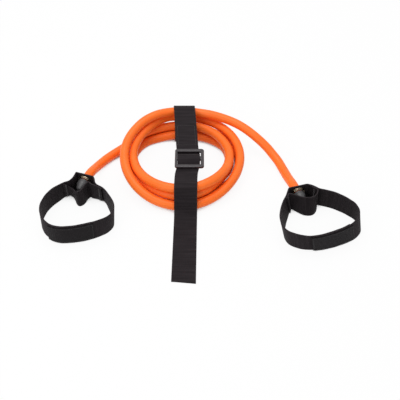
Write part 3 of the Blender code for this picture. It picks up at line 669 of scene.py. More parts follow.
# eyelets: where each stands on the layout and which way its tube leaves
eyeletSizes = {
    "height": 0.0165,
    "flatReach": 0.0112,
    "boreClearance": 0.0004,
    "wall": 0.0008,
    "flangeReach": 0.0024,
    "flangeThickness": 0.0012,
    "dome": 0.0005,
    "domeAtBore": 0.4,
    "rimDrop": 0.0002,
    "ringEase": 0.0006,
    "lipReach": 0.0013,
    "washerThickness": 0.0010,
    "washerReach": 0.0022,
    "washerEase": 0.0004,
    "plugStandoff": 0.0007,
}


def eyeletPlaces(plan, tubeDeg):
    turn = math.radians(tubeDeg)
    places = {
        "middle": np.array([plan[0], plan[1], eyeletSizes["height"]]),
        "out": np.array([math.sin(turn), math.cos(turn), 0.0]),
        "side": np.array([math.cos(turn), -math.sin(turn), 0.0]),
        "bore": tubeRadius + eyeletSizes["boreClearance"],
        "seat": webThick / 2 + gap,
    }
    places["barrel"] = places["bore"] + eyeletSizes["wall"]
    places["flangeFace"] = places["seat"] + eyeletSizes["flangeThickness"]
    places["washerFace"] = places["seat"] + eyeletSizes["washerThickness"]
    places["lipSeat"] = places["washerFace"] + gap
    places["lipFace"] = places["lipSeat"] + eyeletSizes["wall"]
    places["plugRim"] = places["lipFace"] + eyeletSizes["plugStandoff"]
    return places


leftHand = {
    "eyelet": (-0.1430, 0.0175),
    "tubeDeg": 19.0,
    "loop": (
        (0.0130, -0.0090), (0.0141, -0.0135), (0.0169, -0.0169), (0.0235, -0.0211),
        (0.0287, -0.0281), (0.0338, -0.0390), (0.0382, -0.0505), (0.0394, -0.0610),
        (0.0355, -0.0693), (0.0265, -0.0763), (0.0130, -0.0823), (-0.0050, -0.0870),
        (-0.0210, -0.0879), (-0.0325, -0.0837), (-0.0420, -0.0745), (-0.0470, -0.0615),
        (-0.0475, -0.0495), (-0.0438, -0.0365), (-0.0370, -0.0255), (-0.0300, -0.0180),
        (-0.0235, -0.0123), (-0.0176, -0.0097), (-0.0142, -0.0057), (-0.0118, -0.0005),
    ),
    "pocket": (
        (0.0100, -0.0158), (0.0064, -0.0128), (0.0030, -0.0166), (0.0003, -0.0236),
        (-0.0028, -0.0274), (-0.0062, -0.0283), (-0.0090, -0.0250), (-0.0116, -0.0188),
        (-0.0146, -0.0142),
    ),
    "pocketLean": 0.12,
    "pocketHeights": (
        (0.0, 1.0), (0.45, 1.0), (0.60, 0.92), (0.74, 0.73), (0.86, 0.55), (0.90, 0.64),
        (0.93, 0.95), (1.0, 1.0),
    ),
    "pocketLifts": ((0.0, 0.0016), (0.12, 0.0016), (0.24, 0.0), (0.82, 0.0), (0.90, 0.0016), (1.0, 0.0016)),
    "seams": ((0.0350, 0.0262), (0.0285, 0.0360)),
    "leans": (
        (0.00, 0.0, 0.0), (0.06, 0.0, 0.0), (0.09, 0.0, -0.12), (0.13, 0.02, -0.18),
        (0.17, 0.05, -0.12), (0.22, 0.09, 0.0), (0.33, 0.08, 0.0), (0.42, 0.0, 0.02),
        (0.60, 0.0, -0.01), (0.78, 0.06, 0.03), (0.83, 0.04, 0.0), (0.865, 0.03, -0.15),
        (0.89, 0.02, -0.20), (0.92, 0.0, -0.12), (0.95, 0.0, 0.0), (1.00, 0.0, 0.0),
    ),
    "frontShare": 0.485,
    "ripplePhase": 0.7,
}
rightHand = {
    "eyelet": (0.1195, -0.0035),
    "tubeDeg": -17.0,
    "loop": (
        (0.0150, 0.0023), (0.0200, -0.0005), (0.0250, -0.0043), (0.0315, -0.0065),
        (0.0405, -0.0097), (0.0495, -0.0150), (0.0590, -0.0223), (0.0660, -0.0300),
        (0.0695, -0.0400), (0.0687, -0.0493), (0.0633, -0.0577), (0.0545, -0.0647),
        (0.0415, -0.0715), (0.0285, -0.0765), (0.0165, -0.0797), (0.0035, -0.0807),
        (-0.0085, -0.0777), (-0.0185, -0.0710), (-0.0225, -0.0595), (-0.0220, -0.0455),
        (-0.0190, -0.0335), (-0.0153, -0.0227), (-0.0129, -0.0150), (-0.0121, -0.0090),
    ),
    "pocket": (
        (0.0234, -0.0090), (0.0214, -0.0156), (0.0174, -0.0202), (0.0118, -0.0216),
        (0.0052, -0.0207), (-0.0006, -0.0178), (-0.0056, -0.0148),
    ),
    "pocketLean": 0.14,
    "pocketHeights": ((0.0, 1.0), (1.0, 1.0)),
    "pocketLifts": ((0.0, 0.0), (0.55, 0.0), (0.70, 0.0010), (0.90, 0.0015), (1.0, 0.0015)),
    "seams": ((0.0185, 0.0270), (0.0210, 0.0290)),
    "leans": (
        (0.00, 0.0, 0.0), (0.18, 0.0, 0.0), (0.28, -0.10, 0.0), (0.36, -0.22, 0.0), (0.45, -0.25, -0.03),
        (0.60, -0.20, -0.09), (0.72, -0.20, -0.08), (0.80, -0.28, 0.0), (0.88, -0.30, 0.0),
        (0.925, -0.16, 0.0), (0.955, 0.0, 0.0), (1.00, 0.0, 0.0),
    ),
    "frontShare": 0.50,
    "ripplePhase": 2.9,
}
leftEyelet = eyeletPlaces(leftHand["eyelet"], leftHand["tubeDeg"])
rightEyelet = eyeletPlaces(rightHand["eyelet"], rightHand["tubeDeg"])


# tube: one unbroken length, from the left stopper through the coil to the right one
plugSizes = {
    "length": 0.0145,
    "wall": 0.0013,
    "socket": 0.0050,
    "tipRadius": 0.0032,
    "rimSteps": ((-0.0005, 0.0), (0.0, 0.0005), (0.0, 0.0030), (-0.0003, 0.0034)),
    "neckSteps": ((-0.0003, 0.0008), (-0.0007, 0.0020)),
    "tipSteps": ((0.0014, 0.0028), (0.0006, 0.0013), (-0.0004, 0.0004), (-0.0014, 0.0)),
}
tubeSizes = {
    "coilMiddle": (-0.0222, 0.0572),
    "coilRadius": 0.0726,
    "clearance": 0.0008,
    "pointsPerTurn": 24,
    "rightLeavesDeg": -15,
    "rightEndsDeg": -30,
    "leftLeavesDeg": 1485,
    "leftEndsDeg": 1515,
    "sides": 36,
    "ringStep": 0.0022,
    "pileStep": 0.002,
}
settling = {
    "rounds": 600,
    "smoothing": 0.03,
    "hold": 0.03,
    "push": 0.15,
    "spotsPerStep": 4,
    "apartDeg": 120,
    "slackAfter": 0.7,
    "slackShare": 0.02,
}
pile = (  # degrees round the coil, how far outside its outermost turn's usual line, and how high
    (-30, 0.0018, 0.0352), (-15, 0.0020, 0.0356), (0, 0.0008, 0.0369), (15, -0.0020, 0.0379),
    (30, -0.0039, 0.0389), (45, -0.0022, 0.0374), (60, -0.0008, 0.0342), (75, -0.0002, 0.0315),
    (90, 0.0002, 0.0288), (105, 0.0004, 0.0260), (120, 0.0012, 0.0222), (135, 0.0018, 0.0174),
    (150, 0.0028, 0.0122), (165, 0.0033, 0.0085), (180, 0.0032, 0.0060), (195, 0.0024, 0.0072),
    (210, 0.0016, 0.0098), (225, 0.0004, 0.0130), (240, -0.0010, 0.0160), (255, -0.0008, 0.0176),
    (270, 0.0002, 0.0185), (285, 0.0018, 0.0190), (300, 0.0042, 0.0197), (315, 0.0060, 0.0204),
    (330, 0.0068, 0.0214), (345, 0.0066, 0.0226), (360, 0.0040, 0.0234), (375, 0.0016, 0.0256),
    (390, -0.0018, 0.0268), (405, -0.0040, 0.0262), (420, -0.0056, 0.0250), (435, -0.0074, 0.0232),
    (450, -0.0088, 0.0218), (480, -0.0102, 0.0245), (495, -0.0094, 0.0260), (510, -0.0078, 0.0276),
    (525, -0.0062, 0.0284), (540, -0.0060, 0.0282), (555, -0.0056, 0.0288), (570, -0.0064, 0.0294),
    (585, -0.0086, 0.0286), (600, -0.0118, 0.0264), (615, -0.0136, 0.0238), (630, -0.0138, 0.0214),
    (660, -0.0122, 0.0208), (690, -0.0100, 0.0212), (705, -0.0088, 0.0203), (720, -0.0078, 0.0194),
    (735, -0.0054, 0.0174), (750, -0.0010, 0.0158), (765, 0.0022, 0.0156), (780, 0.0034, 0.0156),
    (795, 0.0028, 0.0154), (810, 0.0008, 0.0152), (825, -0.0022, 0.0140), (840, -0.0068, 0.0128),
    (855, -0.0088, 0.0130), (870, -0.0074, 0.0150), (885, -0.0060, 0.0162), (900, -0.0050, 0.0158),
    (915, -0.0056, 0.0166), (930, -0.0074, 0.0174), (945, -0.0104, 0.0160), (960, -0.0134, 0.0132),
    (990, -0.0134, 0.0086), (1005, -0.0110, 0.0080), (1020, -0.0066, 0.0080), (1035, -0.0102, 0.0084),
    (1050, -0.0128, 0.0082), (1080, -0.0142, 0.0080), (1095, -0.0110, 0.0070), (1110, -0.0054, 0.0058),
    (1125, -0.0012, 0.0058), (1140, -0.0014, 0.0058), (1155, -0.0029, 0.0058), (1170, -0.0072, 0.0058),
    (1185, -0.0110, 0.0058), (1200, -0.0142, 0.0058), (1215, -0.0163, 0.0058), (1230, -0.0170, 0.0058),
    (1260, -0.0155, 0.0058), (1290, -0.0120, 0.0058), (1305, -0.0095, 0.0058), (1320, -0.0060, 0.0058),
    (1350, 0.0004, 0.0060), (1365, 0.0026, 0.0064), (1380, 0.0039, 0.0068), (1395, 0.0040, 0.0070),
    (1410, 0.0032, 0.0070), (1440, 0.0026, 0.0082), (1455, 0.0034, 0.0072), (1470, 0.0062, 0.0064),
    (1485, 0.0077, 0.0060), (1515, 0.0208, 0.0060),
)
rightRoute = (
    (0.0398, 0.1160, 0.0325), (0.0554, 0.1064, 0.0302), (0.0709, 0.0949, 0.0250),
    (0.0863, 0.0822, 0.0170), (0.0940, 0.0735, 0.0122), (0.1012, 0.0621, 0.0090),
    (0.1066, 0.0470, 0.0082), (0.1108, 0.0300, 0.0108),
)
leftRoute = ((-0.1212, 0.0706, 0.0062), (-0.1269, 0.0619, 0.0070), (-0.1321, 0.0517, 0.0090))


def pilePoints(angles, places):
    radii = tubeSizes["coilRadius"] + places[:, 0]
    turnedBy = np.radians(angles)
    middle = tubeSizes["coilMiddle"]
    return np.column_stack([
        middle[0] - radii * np.sin(turnedBy), middle[1] + radii * np.cos(turnedBy), places[:, 1],
    ])


def windCoil():
    step = 360 / tubeSizes["pointsPerTurn"]
    angles = np.arange(tubeSizes["rightEndsDeg"], tubeSizes["leftEndsDeg"] + 1, step)
    marks, outward, heights = np.array(pile).T
    # degrees count as thousandths, so that they weigh about as much as metres in the curve
    curve = smoothCurve(np.column_stack([outward, heights, marks / 1000]), tubeSizes["pileStep"])
    targets = np.column_stack([np.interp(angles / 1000, curve[:, 2], curve[:, axis]) for axis in range(2)])
    leaves = (tubeSizes["rightLeavesDeg"], tubeSizes["leftLeavesDeg"])
    held = (angles <= leaves[0]) | (angles >= leaves[1])
    for source in leaves:
        # the tube leaves the coil along its tangent
        start = np.flatnonzero(angles == source)[0]
        for index in np.flatnonzero(held & (np.abs(angles - source) < 90)):
            past = math.cos(math.radians(angles[index] - source))
            out = (tubeSizes["coilRadius"] + targets[start, 0]) / past - tubeSizes["coilRadius"]
            targets[index] = (out, targets[start, 1])
    return pilePoints(angles, settled(targets, angles, held)), angles


def settled(targets, angles, held):
    # stretches that lie too close push each other apart, and the tube keeps a smooth line
    step = 360 / tubeSizes["pointsPerTurn"]
    pitch = stock["tubeDiameter"] + tubeSizes["clearance"]
    floor = np.full(len(angles), tubeRadius)
    underStrap = np.abs((angles + 180) % 360 - 180) < step + 1
    floor[underStrap] += webThick + 2 * gap
    floor[held] = np.minimum(floor[held], targets[held, 1])
    free = (~held).astype(float)
    spots = np.arange(angles[0], angles[-1] + 0.1, step / settling["spotsPerStep"])
    share = np.maximum(1 - np.abs(spots[:, None] - angles[None, :]) / step, 0)
    apartEnough = np.abs(spots[:, None] - spots[None, :]) > settling["apartDeg"]
    turnedBy = np.radians(angles)
    radial = np.column_stack([-np.sin(turnedBy), np.cos(turnedBy)])
    places = targets.copy()
    for attempt in range(settling["rounds"]):
        easing = 1.0 if attempt < settling["rounds"] * settling["slackAfter"] else settling["slackShare"]
        bend = places[:-2] + places[2:] - 2 * places[1:-1]
        places[1:-1] += settling["smoothing"] * easing * bend * free[1:-1, None]
        places += settling["hold"] * easing * (targets - places) * free[:, None]
        points = share @ pilePoints(angles, places)
        squares = (points ** 2).sum(axis=1)
        distance = np.sqrt(np.maximum(squares[:, None] + squares - 2 * points @ points.T, 1e-12))
        push = np.where(apartEnough, np.maximum(pitch - distance, 0.0), 0.0) / distance * settling["push"]
        moved = share.T @ (points * push.sum(axis=1)[:, None] - push @ points)
        places[:, 0] += (moved[:, :2] * radial).sum(axis=1) * free
        places[:, 1] += moved[:, 2] * free
        places[:, 1] = np.maximum(places[:, 1], floor)
    return places


def plugEnds(eyelet):
    outside = eyelet["middle"] + eyelet["out"] * (eyelet["flangeFace"] + stock["tubeDiameter"])
    inside = eyelet["middle"] - eyelet["out"] * (eyelet["plugRim"] + plugSizes["socket"] - gap)
    return [outside, eyelet["middle"], inside]


coil, coilAngles = windCoil()
tubeRoute = np.array([
    *plugEnds(leftEyelet)[::-1], *leftRoute[::-1], *coil[::-1], *rightRoute, *plugEnds(rightEyelet),
])
tubeLine = smoothCurve(tubeRoute, tubeSizes["ringStep"])
tube = sweepRound("orangeTube", tubeLine, tubeRadius, tubeSizes["sides"], rubber)
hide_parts("tube_coil", "tube_left_lead", "tube_right_lead")
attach(tube, "tube_and_strap")


# hand loops
loopSizes = {
    "lap": 0.050,
    "levelNearEyelet": 0.032,
    "step": 0.0012,
    "coverStep": 0.0010,
    "softening": 30,
    "nearby": 0.0004,
    "labelLength": 0.0540,
    "labelHeight": 0.0240,
    "labelThickness": 0.0007,
    "labelInset": 0.0014,
    "lapRows": (0.0016, 0.0048),
    "lapRowReach": 0.44,
    "tackWidth": 0.0030,
    "tackHeightShare": 0.84,
    "tackPitch": 0.00055,
    "tackSlant": 0.10,
    "tackLift": 0.0001,
    "threadRadius": 0.00026,
    "stitchPitch": 0.0026,
    "stitchLength": 0.0023,
    "ripple": 0.00016,
    "ripples": ((0.6, 210, 1.0), (0.4, 470, 2.1)),  # how much, how fast along the webbing, times the phase
    "calmReach": 0.045,
    "innerDrop": 0.0017,
    "innerFade": 0.018,
}


def inwardOf(points):
    tangents = tangentsOf(points)
    return np.column_stack([tangents[:, 1], -tangents[:, 0]])


def loopLine(eyelet, plan):
    # flat to both sides of the eyelet, and round the hand in between
    middle = eyelet["middle"][:2]
    flat = [eyelet["side"][:2] * share * eyeletSizes["flatReach"] for share in (0.0, 0.4, 0.8, 1.0)]
    there, back = [middle + place for place in flat], [middle - place for place in flat[::-1]]
    ring = smoothCurve([*there, *np.add(plan, middle), *back], loopSizes["step"])
    return ring, lengthsAlong(ring)


def leaning(hand, lengths, places):
    # the way the webbing's width points, place by place round the loop
    shares, leanX, leanY = zip(*hand["leans"])
    share = np.asarray(places) % lengths[-1] / lengths[-1]
    across = np.column_stack([
        np.interp(share, shares, leanX), np.interp(share, shares, leanY), np.ones(len(share)),
    ])
    return unit(softened(across, loopSizes["softening"]))


def standing(line, heights):
    # the line raised by half the given heights, to the middle of webbing that stands on its edge
    return np.column_stack([line, np.broadcast_to(np.asarray(heights) / 2, len(line))])


def rippled(line, lengths, size, phase):
    # the slight unevenness of webbing that has been folded and packed
    wave = sum(share * np.sin(lengths * pace + part * phase) for share, pace, part in loopSizes["ripples"])
    return line + inwardOf(line) * (wave * size)[:, None]


def fromSurface(line, across, height, out):
    # points on one face of upright webbing, by the height above its middle line, and the way the face looks
    inward = inwardOf(line)
    normal = np.column_stack([inward, np.zeros(len(line))]) * (1 if out > 0 else -1)
    normal = unit(normal - across * np.sum(normal * across, axis=1)[:, None])
    points = standing(line, webWidth) + across * np.broadcast_to(height, len(line))[:, None]
    return points + normal * abs(out), normal


def handLoop(side, hand, eyelet):
    body = side + "_handle"
    ring, lengths = loopLine(eyelet, hand["loop"])
    total = lengths[-1]
    middle = hand["frontShare"] * total
    lapLength = loopSizes["lap"]
    lap = (webThick + gap) / 2
    print("hand loop's webbing: %.3f m with the lap" % (total + lapLength))

    def closeTo(spot):
        # the loop's line and its lean just round one spot
        near = spot + np.array([-1.0, 0.0, 1.0]) * loopSizes["nearby"]
        return atLength(ring, lengths, near), leaning(hand, lengths, near)

    # the long strip, its ends lapped at the front
    start = middle - lapLength / 2
    count = round((total + lapLength) / loopSizes["step"])
    places = start + np.linspace(0.0, total + lapLength, count + 1)
    line = atLength(ring, lengths, places % total)
    level = loopSizes["levelNearEyelet"]
    marks = (start, start + lapLength, total - level, total + level, start + total, places[-1])
    shifts = np.interp(places, marks, (lap, lap, 0.0, 0.0, -lap, -lap))
    line = line + inwardOf(line) * shifts[:, None]
    calm = np.minimum(1.0, np.abs((places - total) / loopSizes["calmReach"])) ** 2
    line = rippled(line, lengthsAlong(line), loopSizes["ripple"] * calm, hand["ripplePhase"])
    across = leaning(hand, lengths, places)
    pastLap = np.clip((places - start - lapLength) / loopSizes["innerFade"], 0, 1)
    tall = webWidth - loopSizes["innerDrop"] * (0.5 + 0.5 * np.cos(math.pi * pastLap))
    strip = sweepBand(side + "GripWebbing", standing(line, tall), across, tall, webThick, webbing)
    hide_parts(side + "_grip_loop")
    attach(strip, body)

    # the pocket's cover, sewn flat at both seams and bulging round the stopper
    out = webThick + gap
    first, second = hand["seams"]
    seamEnds = []
    for begin, end in (first, (total - second[0], total - second[1])):
        spots = np.linspace(begin, end, 4)
        ahead = 1 if end > begin else -1
        seam = atLength(ring, lengths, spots)
        inward = inwardOf(atLength(ring, lengths, np.sort(spots)))[::ahead]
        lean = leaning(hand, lengths, np.linspace(begin, end, 40))[::13]
        seamEnds.append(np.column_stack([seam + inward * out, lean * stock["tubeDiameter"]]))
    share = np.linspace(0, 1, len(hand["pocket"]) + 2)[1:-1, None]
    leans = seamEnds[0][-1, 2:] * (1 - share) + seamEnds[1][0, 2:] * share
    leans[:, 1] += hand["pocketLean"] * stock["tubeDiameter"] * np.sin(math.pi * share[:, 0])
    bulge = np.column_stack([np.add(hand["pocket"], eyelet["middle"][:2]), leans])
    curve = smoothCurve([*seamEnds[0], *bulge, *seamEnds[1]], loopSizes["coverStep"])
    along = lengthsAlong(curve[:, :2])
    print("pocket cover's webbing: %.3f m" % along[-1])

    def alongCover(marks, size=1.0):
        return softened(np.interp(along / along[-1], *zip(*marks)) * size, loopSizes["softening"])

    heights = alongCover(hand["pocketHeights"], webWidth)
    lifts = alongCover(hand["pocketLifts"])
    cover = sweepBand(
        side + "PocketCover", standing(curve[:, :2], heights + lifts), unit(curve[:, 2:]), heights - lifts,
        webThick, webbing,
    )
    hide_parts(side + "_pocket_cover")
    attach(cover, body)

    # the bare label patch over the lapped ends
    labelOut = lap + webThick / 2 + gap + loopSizes["labelThickness"] / 2
    spots = middle + np.linspace(-0.5, 0.5, 49) * loopSizes["labelLength"]
    patchLine = atLength(ring, lengths, spots)
    patchLine = patchLine - inwardOf(patchLine) * labelOut
    patch = sweepBand(
        side + "LabelPatch", standing(patchLine, webWidth), leaning(hand, lengths, spots),
        loopSizes["labelHeight"], loopSizes["labelThickness"], satin,
    )
    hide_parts(side + "_label_patch")
    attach(patch, body)

    # thread round the label and across the lapped ends
    pitch = loopSizes["stitchPitch"]
    longReach = loopSizes["labelLength"] / 2 - loopSizes["labelInset"]
    tallReach = loopSizes["labelHeight"] / 2 - loopSizes["labelInset"]
    faceOut = labelOut + loopSizes["labelThickness"] / 2
    edgeSpots = middle + np.linspace(-longReach, longReach, 60)
    edgeLine = atLength(ring, lengths, edgeSpots)
    edgeAcross = leaning(hand, lengths, edgeSpots)
    rows = []
    for high in (-tallReach, tallReach):
        points, normals = fromSurface(edgeLine, edgeAcross, high, -faceOut)
        rows.append(stitchesAlong(points, normals, pitch))
    points, normals = fromSurface(edgeLine, edgeAcross, 0.0, -faceOut)
    for index in (0, -1):
        rise = np.linspace(-tallReach, tallReach, 12)[:, None] * edgeAcross[index]
        rows.append(stitchesAlong(points[index] + rise, normals[index], pitch))
    rowReach = loopSizes["lapRowReach"]
    for end in (-1, 1):
        for inside in loopSizes["lapRows"]:
            at, lean = closeTo(middle + end * (lapLength / 2 - inside))
            rise = np.linspace(-rowReach, rowReach, 14)[:, None] * webWidth * lean[1]
            for face in (1, -1):
                points, normals = fromSurface(at, lean, 0.0, face * (lap + webThick / 2))
                rows.append(stitchesAlong(points[1] + rise, normals[1], pitch))
    seams = sewn(side + "Stitching", rows, loopSizes["stitchLength"], loopSizes["threadRadius"], thread)
    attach(seams, body)

    # the two bar tacks, zigzag on both faces
    tacks = (
        ("_right_bar_tack", sum(first) / 2, hand["pocketHeights"][0][1]),
        ("_left_bar_tack", total - sum(second) / 2, hand["pocketHeights"][-1][1]),
    )
    for node, spot, share in tacks:
        at, lean = closeTo(spot)
        ahead = np.array([*tangentsOf(at)[1], 0.0])
        tall = share * webWidth * loopSizes["tackHeightShare"]
        base = share * webWidth / 2 - webWidth / 2
        rises = np.arange(-tall / 2, tall / 2, loopSizes["tackPitch"])
        slants = loopSizes["tackSlant"] * (np.arange(len(rises)) % 2 * 2 - 1)
        zigzag = []
        for face, deep in ((1, 1.5 * webThick + gap), (-1, webThick / 2)):
            points, normals = fromSurface(at, lean, 0.0, face * deep)
            beads = points[1] + np.outer(rises + base, lean[1]) + normals[1] * loopSizes["tackLift"]
            ways = ahead + np.outer(slants, lean[1])
            zigzag.append((beads, ways, np.tile(normals[1], (len(rises), 1))))
        tack = sewn(
            side + ("Far" if "left" in node else "Near") + "BarTack", zigzag,
            loopSizes["tackWidth"], loopSizes["threadRadius"], thread,
        )
        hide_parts(side + node)
        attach(tack, body)
    print(side, "hand loop made")


def eyeletSet(side, eyelet):
    body = side + "_handle"
    flange = eyelet["barrel"] + eyeletSizes["flangeReach"]
    lip = eyelet["barrel"] + eyeletSizes["lipReach"]
    dome = eyeletSizes["dome"]
    ringProfile = roundedProfile([
        (eyelet["bore"], -eyelet["lipFace"]),
        (eyelet["bore"], eyelet["flangeFace"] + dome * eyeletSizes["domeAtBore"]),
        ((eyelet["bore"] + flange) / 2, eyelet["flangeFace"] + dome),
        (flange, eyelet["flangeFace"] - eyeletSizes["rimDrop"]),
        (flange, eyelet["seat"]),
        (eyelet["barrel"], eyelet["seat"]),
        (eyelet["barrel"], -eyelet["lipSeat"]),
        (lip, -eyelet["lipSeat"]),
        (lip, -eyelet["lipFace"]),
    ], eyeletSizes["ringEase"])
    ring = turnedRing(side + "EyeletRing", ringProfile, eyelet["middle"], eyelet["out"], brass)
    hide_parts(side + "_eyelet")
    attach(ring, body)
    outer = eyelet["barrel"] + eyeletSizes["washerReach"]
    washerProfile = roundedProfile([
        (eyelet["barrel"] + gap, -eyelet["seat"]),
        (outer, -eyelet["seat"]),
        (outer, -eyelet["washerFace"]),
        (eyelet["barrel"] + gap, -eyelet["washerFace"]),
    ], eyeletSizes["washerEase"])
    washer = turnedRing(side + "EyeletWasher", washerProfile, eyelet["middle"], eyelet["out"], brass)
    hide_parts(side + "_eyelet_washer")
    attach(washer, body)


def tubePlug(side, eyelet):
    rim = eyelet["plugRim"]
    inner = tubeRadius + gap
    outer = inner + plugSizes["wall"]
    bottom = rim + plugSizes["socket"]
    tip = rim + plugSizes["length"]
    tipRadius = plugSizes["tipRadius"]
    # a step is a change of radius, and how far below the rim or the socket's bottom or back from the tip
    profile = [
        (0, -bottom), (inner, -bottom), (inner, -rim),
        *((outer + wider, -rim - deeper) for wider, deeper in plugSizes["rimSteps"]),
        *((outer + wider, -bottom - deeper) for wider, deeper in plugSizes["neckSteps"]),
        *((tipRadius + wider, -tip + back) for wider, back in plugSizes["tipSteps"]),
        (0, -tip),
    ]
    plug = turnedRing(side + "TubePlug", profile, eyelet["middle"], eyelet["out"], plugPlastic)
    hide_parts(side + "_stopper")
    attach(plug, "tube_and_strap")


for side, hand, eyelet in (("left", leftHand, leftEyelet), ("right", rightHand, rightEyelet)):
    handLoop(side, hand, eyelet)
    eyeletSet(side, eyelet)
    tubePlug(side, eyelet)
print("eyelets and stoppers made")


# storage strap, in (y, z) with a sideways wander, and its slider
strapSizes = {
    "wander": (
        (-0.1315, -0.0185), (-0.0370, -0.0176), (0.0050, -0.0170), (0.0140, -0.0165),
        (0.0215, -0.0148), (0.0240, -0.0139), (0.0460, -0.0139), (0.0500, -0.0150),
        (0.0550, -0.0158), (0.1000, -0.0188), (0.1180, -0.0200), (0.1320, -0.0210),
    ),
    "tailEnd": -0.1315,
    "tailSlant": 0.0015,
    "tailFlat": 0.0200,
    "stitchedEnd": 0.0600,
    "stitchedStart": 0.0960,
    "step": 0.0014,
    "wrapStep": 0.0028,
    "outlineSides": 96,
    "crossingDeg": 31,
    "softening": 12,
    "turnDown": ((-0.26, -0.65), (0.02, -1.43)),  # tube diameters from the wrap's low end and from its crest
    "spanShares": (0.10, 0.35, 0.65, 1.0),
    "runShares": (0.45, 0.75),
    "drapeLowest": 1.5,  # tube radii above the table
    "foot": ((-0.0042, 0.0036), (-0.0095, 0.0006), (-0.0160, 0.0), (-0.0300, 0.0)),
}
sliderSizes = {
    "middle": (-0.0131, 0.0348, 0.0364),
    "tiltDeg": 1.5,
    "width": 0.0362,
    "length": 0.0330,
    "thickness": 0.0034,
    "endBar": 0.0050,
    "middleBar": 0.0060,
    "sideBar": 0.0036,
    "slotShift": -0.0005,
    "corner": 0.0034,
    "cornerSteps": 8,
    "slotCorner": 0.0009,
    "slotCornerSteps": 4,
    "cutterReach": (-0.010, 0.020),
    "edge": 0.0010,
    "edgeSteps": 4,
    "sharpFromDeg": 50,
    "runOut": 0.0035,
    "slotPlay": 0.0008,
    "pastBar": 0.0015,
    "underEase": 0.00005,
    "overEase": 0.0001,
}


def wrapOutline(centres, reach):
    # the line of a strip drawn tight round circles, seen from the side
    sides = strapSizes["outlineSides"]
    around = [2 * math.pi * index / sides for index in range(sides)]
    cloud = sorted({
        (round(y + reach * math.cos(angle), 6), round(z + reach * math.sin(angle), 6))
        for y, z in centres for angle in around
    })

    def half(points):
        chain = []
        for point in points:
            while len(chain) > 1:
                (ay, az), (by, bz) = chain[-2], chain[-1]
                if (by - ay) * (point[1] - az) - (bz - az) * (point[0] - ay) > 0:
                    break
                chain.pop()
            chain.append(point)
        return chain[:-1]

    return half(cloud) + half(cloud[::-1])


def turnsUnder(degrees, first, last):
    # where the coil's turns cross the strap's two edges and the coil's middle
    edges = (first - webWidth / 2, tubeSizes["coilMiddle"][0], last + webWidth / 2)
    centres = []
    for base in np.arange(degrees, coilAngles[-1], 360):
        stretch = coil[np.abs(coilAngles - base) < strapSizes["crossingDeg"]]
        order = np.argsort(stretch[:, 0])
        for x in edges:
            centres.append(tuple(np.interp(x, stretch[order, 0], stretch[order, axis]) for axis in (1, 2)))
    return centres


def sliderPoint(along, above):
    tilt = math.radians(sliderSizes["tiltDeg"])
    return (
        sliderSizes["middle"][1] + along * math.cos(tilt) - above * math.sin(tilt),
        sliderSizes["middle"][2] + along * math.sin(tilt) + above * math.cos(tilt),
    )


def strapLines():
    # the sewn loop, the pass through the slider and the tail, as one strip
    wander = strapSizes["wander"]
    reach = tubeRadius + gap + webThick / 2
    layer = webThick + gap
    under = -(webThick / 2 + gap)
    over = sliderSizes["thickness"] + webThick / 2 + gap
    half = sliderSizes["length"] / 2
    ends = half + sliderSizes["runOut"]
    outline = wrapOutline(turnsUnder(0, wander[-1][1], wander[-3][1]), reach)
    top = max(range(len(outline)), key=lambda index: outline[index][1])
    wrap = evenlySpaced(outline[:top + 1], strapSizes["wrapStep"])
    crest = wrap[-1]
    upper = np.array(sliderPoint(ends, under))
    slope = (crest - upper) / (crest[0] - upper[0])
    below = layer * math.sqrt(1 + slope[1] ** 2)
    stitchedFrom, stitchedTo = strapSizes["stitchedEnd"], strapSizes["stitchedStart"]
    stitched = [
        (y, upper[1] + slope[1] * (y - upper[0]) - below)
        for y in (stitchedFrom, (stitchedFrom + stitchedTo) / 2, stitchedTo)
    ]
    turnDown = [
        (wrap[0][0] + y * stock["tubeDiameter"], crest[1] + z * stock["tubeDiameter"])
        for y, z in strapSizes["turnDown"]
    ]
    span = [crest + (upper - crest) * share for share in strapSizes["spanShares"]]
    sewnLoop = [*stitched, *turnDown, *wrap, *span]

    # up through the rear slot and over the middle bar, then the same way down through the front slot
    slotEnd = half - sliderSizes["endBar"]
    slotOut = slotEnd - sliderSizes["slotPlay"]
    slotIn = sliderSizes["middleBar"] / 2 + sliderSizes["slotPlay"]
    upwards = [
        (slotEnd + sliderSizes["pastBar"], under), (slotOut, under + sliderSizes["underEase"]),
        ((slotOut + slotIn) / 2, (under + over) / 2), (slotIn, over - sliderSizes["overEase"]),
        (sliderSizes["pastBar"], over),
    ]
    downwards = [(-along, above) for along, above in upwards[::-1]]
    bridge = [sliderPoint(*place) for place in (*upwards, *downwards, (-ends, under))]

    front = wrapOutline(turnsUnder(180, wander[0][1], wander[1][1]), reach)
    ridge = max(range(len(front)), key=lambda index: front[index][1])
    lowest = tubeRadius * strapSizes["drapeLowest"]
    drape = evenlySpaced([point for point in front[ridge:] if point[1] > lowest], strapSizes["wrapStep"])
    lower = np.array(bridge[-1])
    run = drape[0] - lower
    rest = webThick / 2
    foot = drape[-1]
    tail = [
        *(lower + run * share for share in strapSizes["runShares"]), *drape,
        *((foot[0] + y, rest + z) for y, z in strapSizes["foot"]),
        (strapSizes["tailEnd"] + strapSizes["tailFlat"], rest), (strapSizes["tailEnd"], rest),
    ]
    return sewnLoop, bridge, tail


def nearest(line, place):
    return int(np.argmin(np.linalg.norm(line - np.asarray(place), axis=1)))


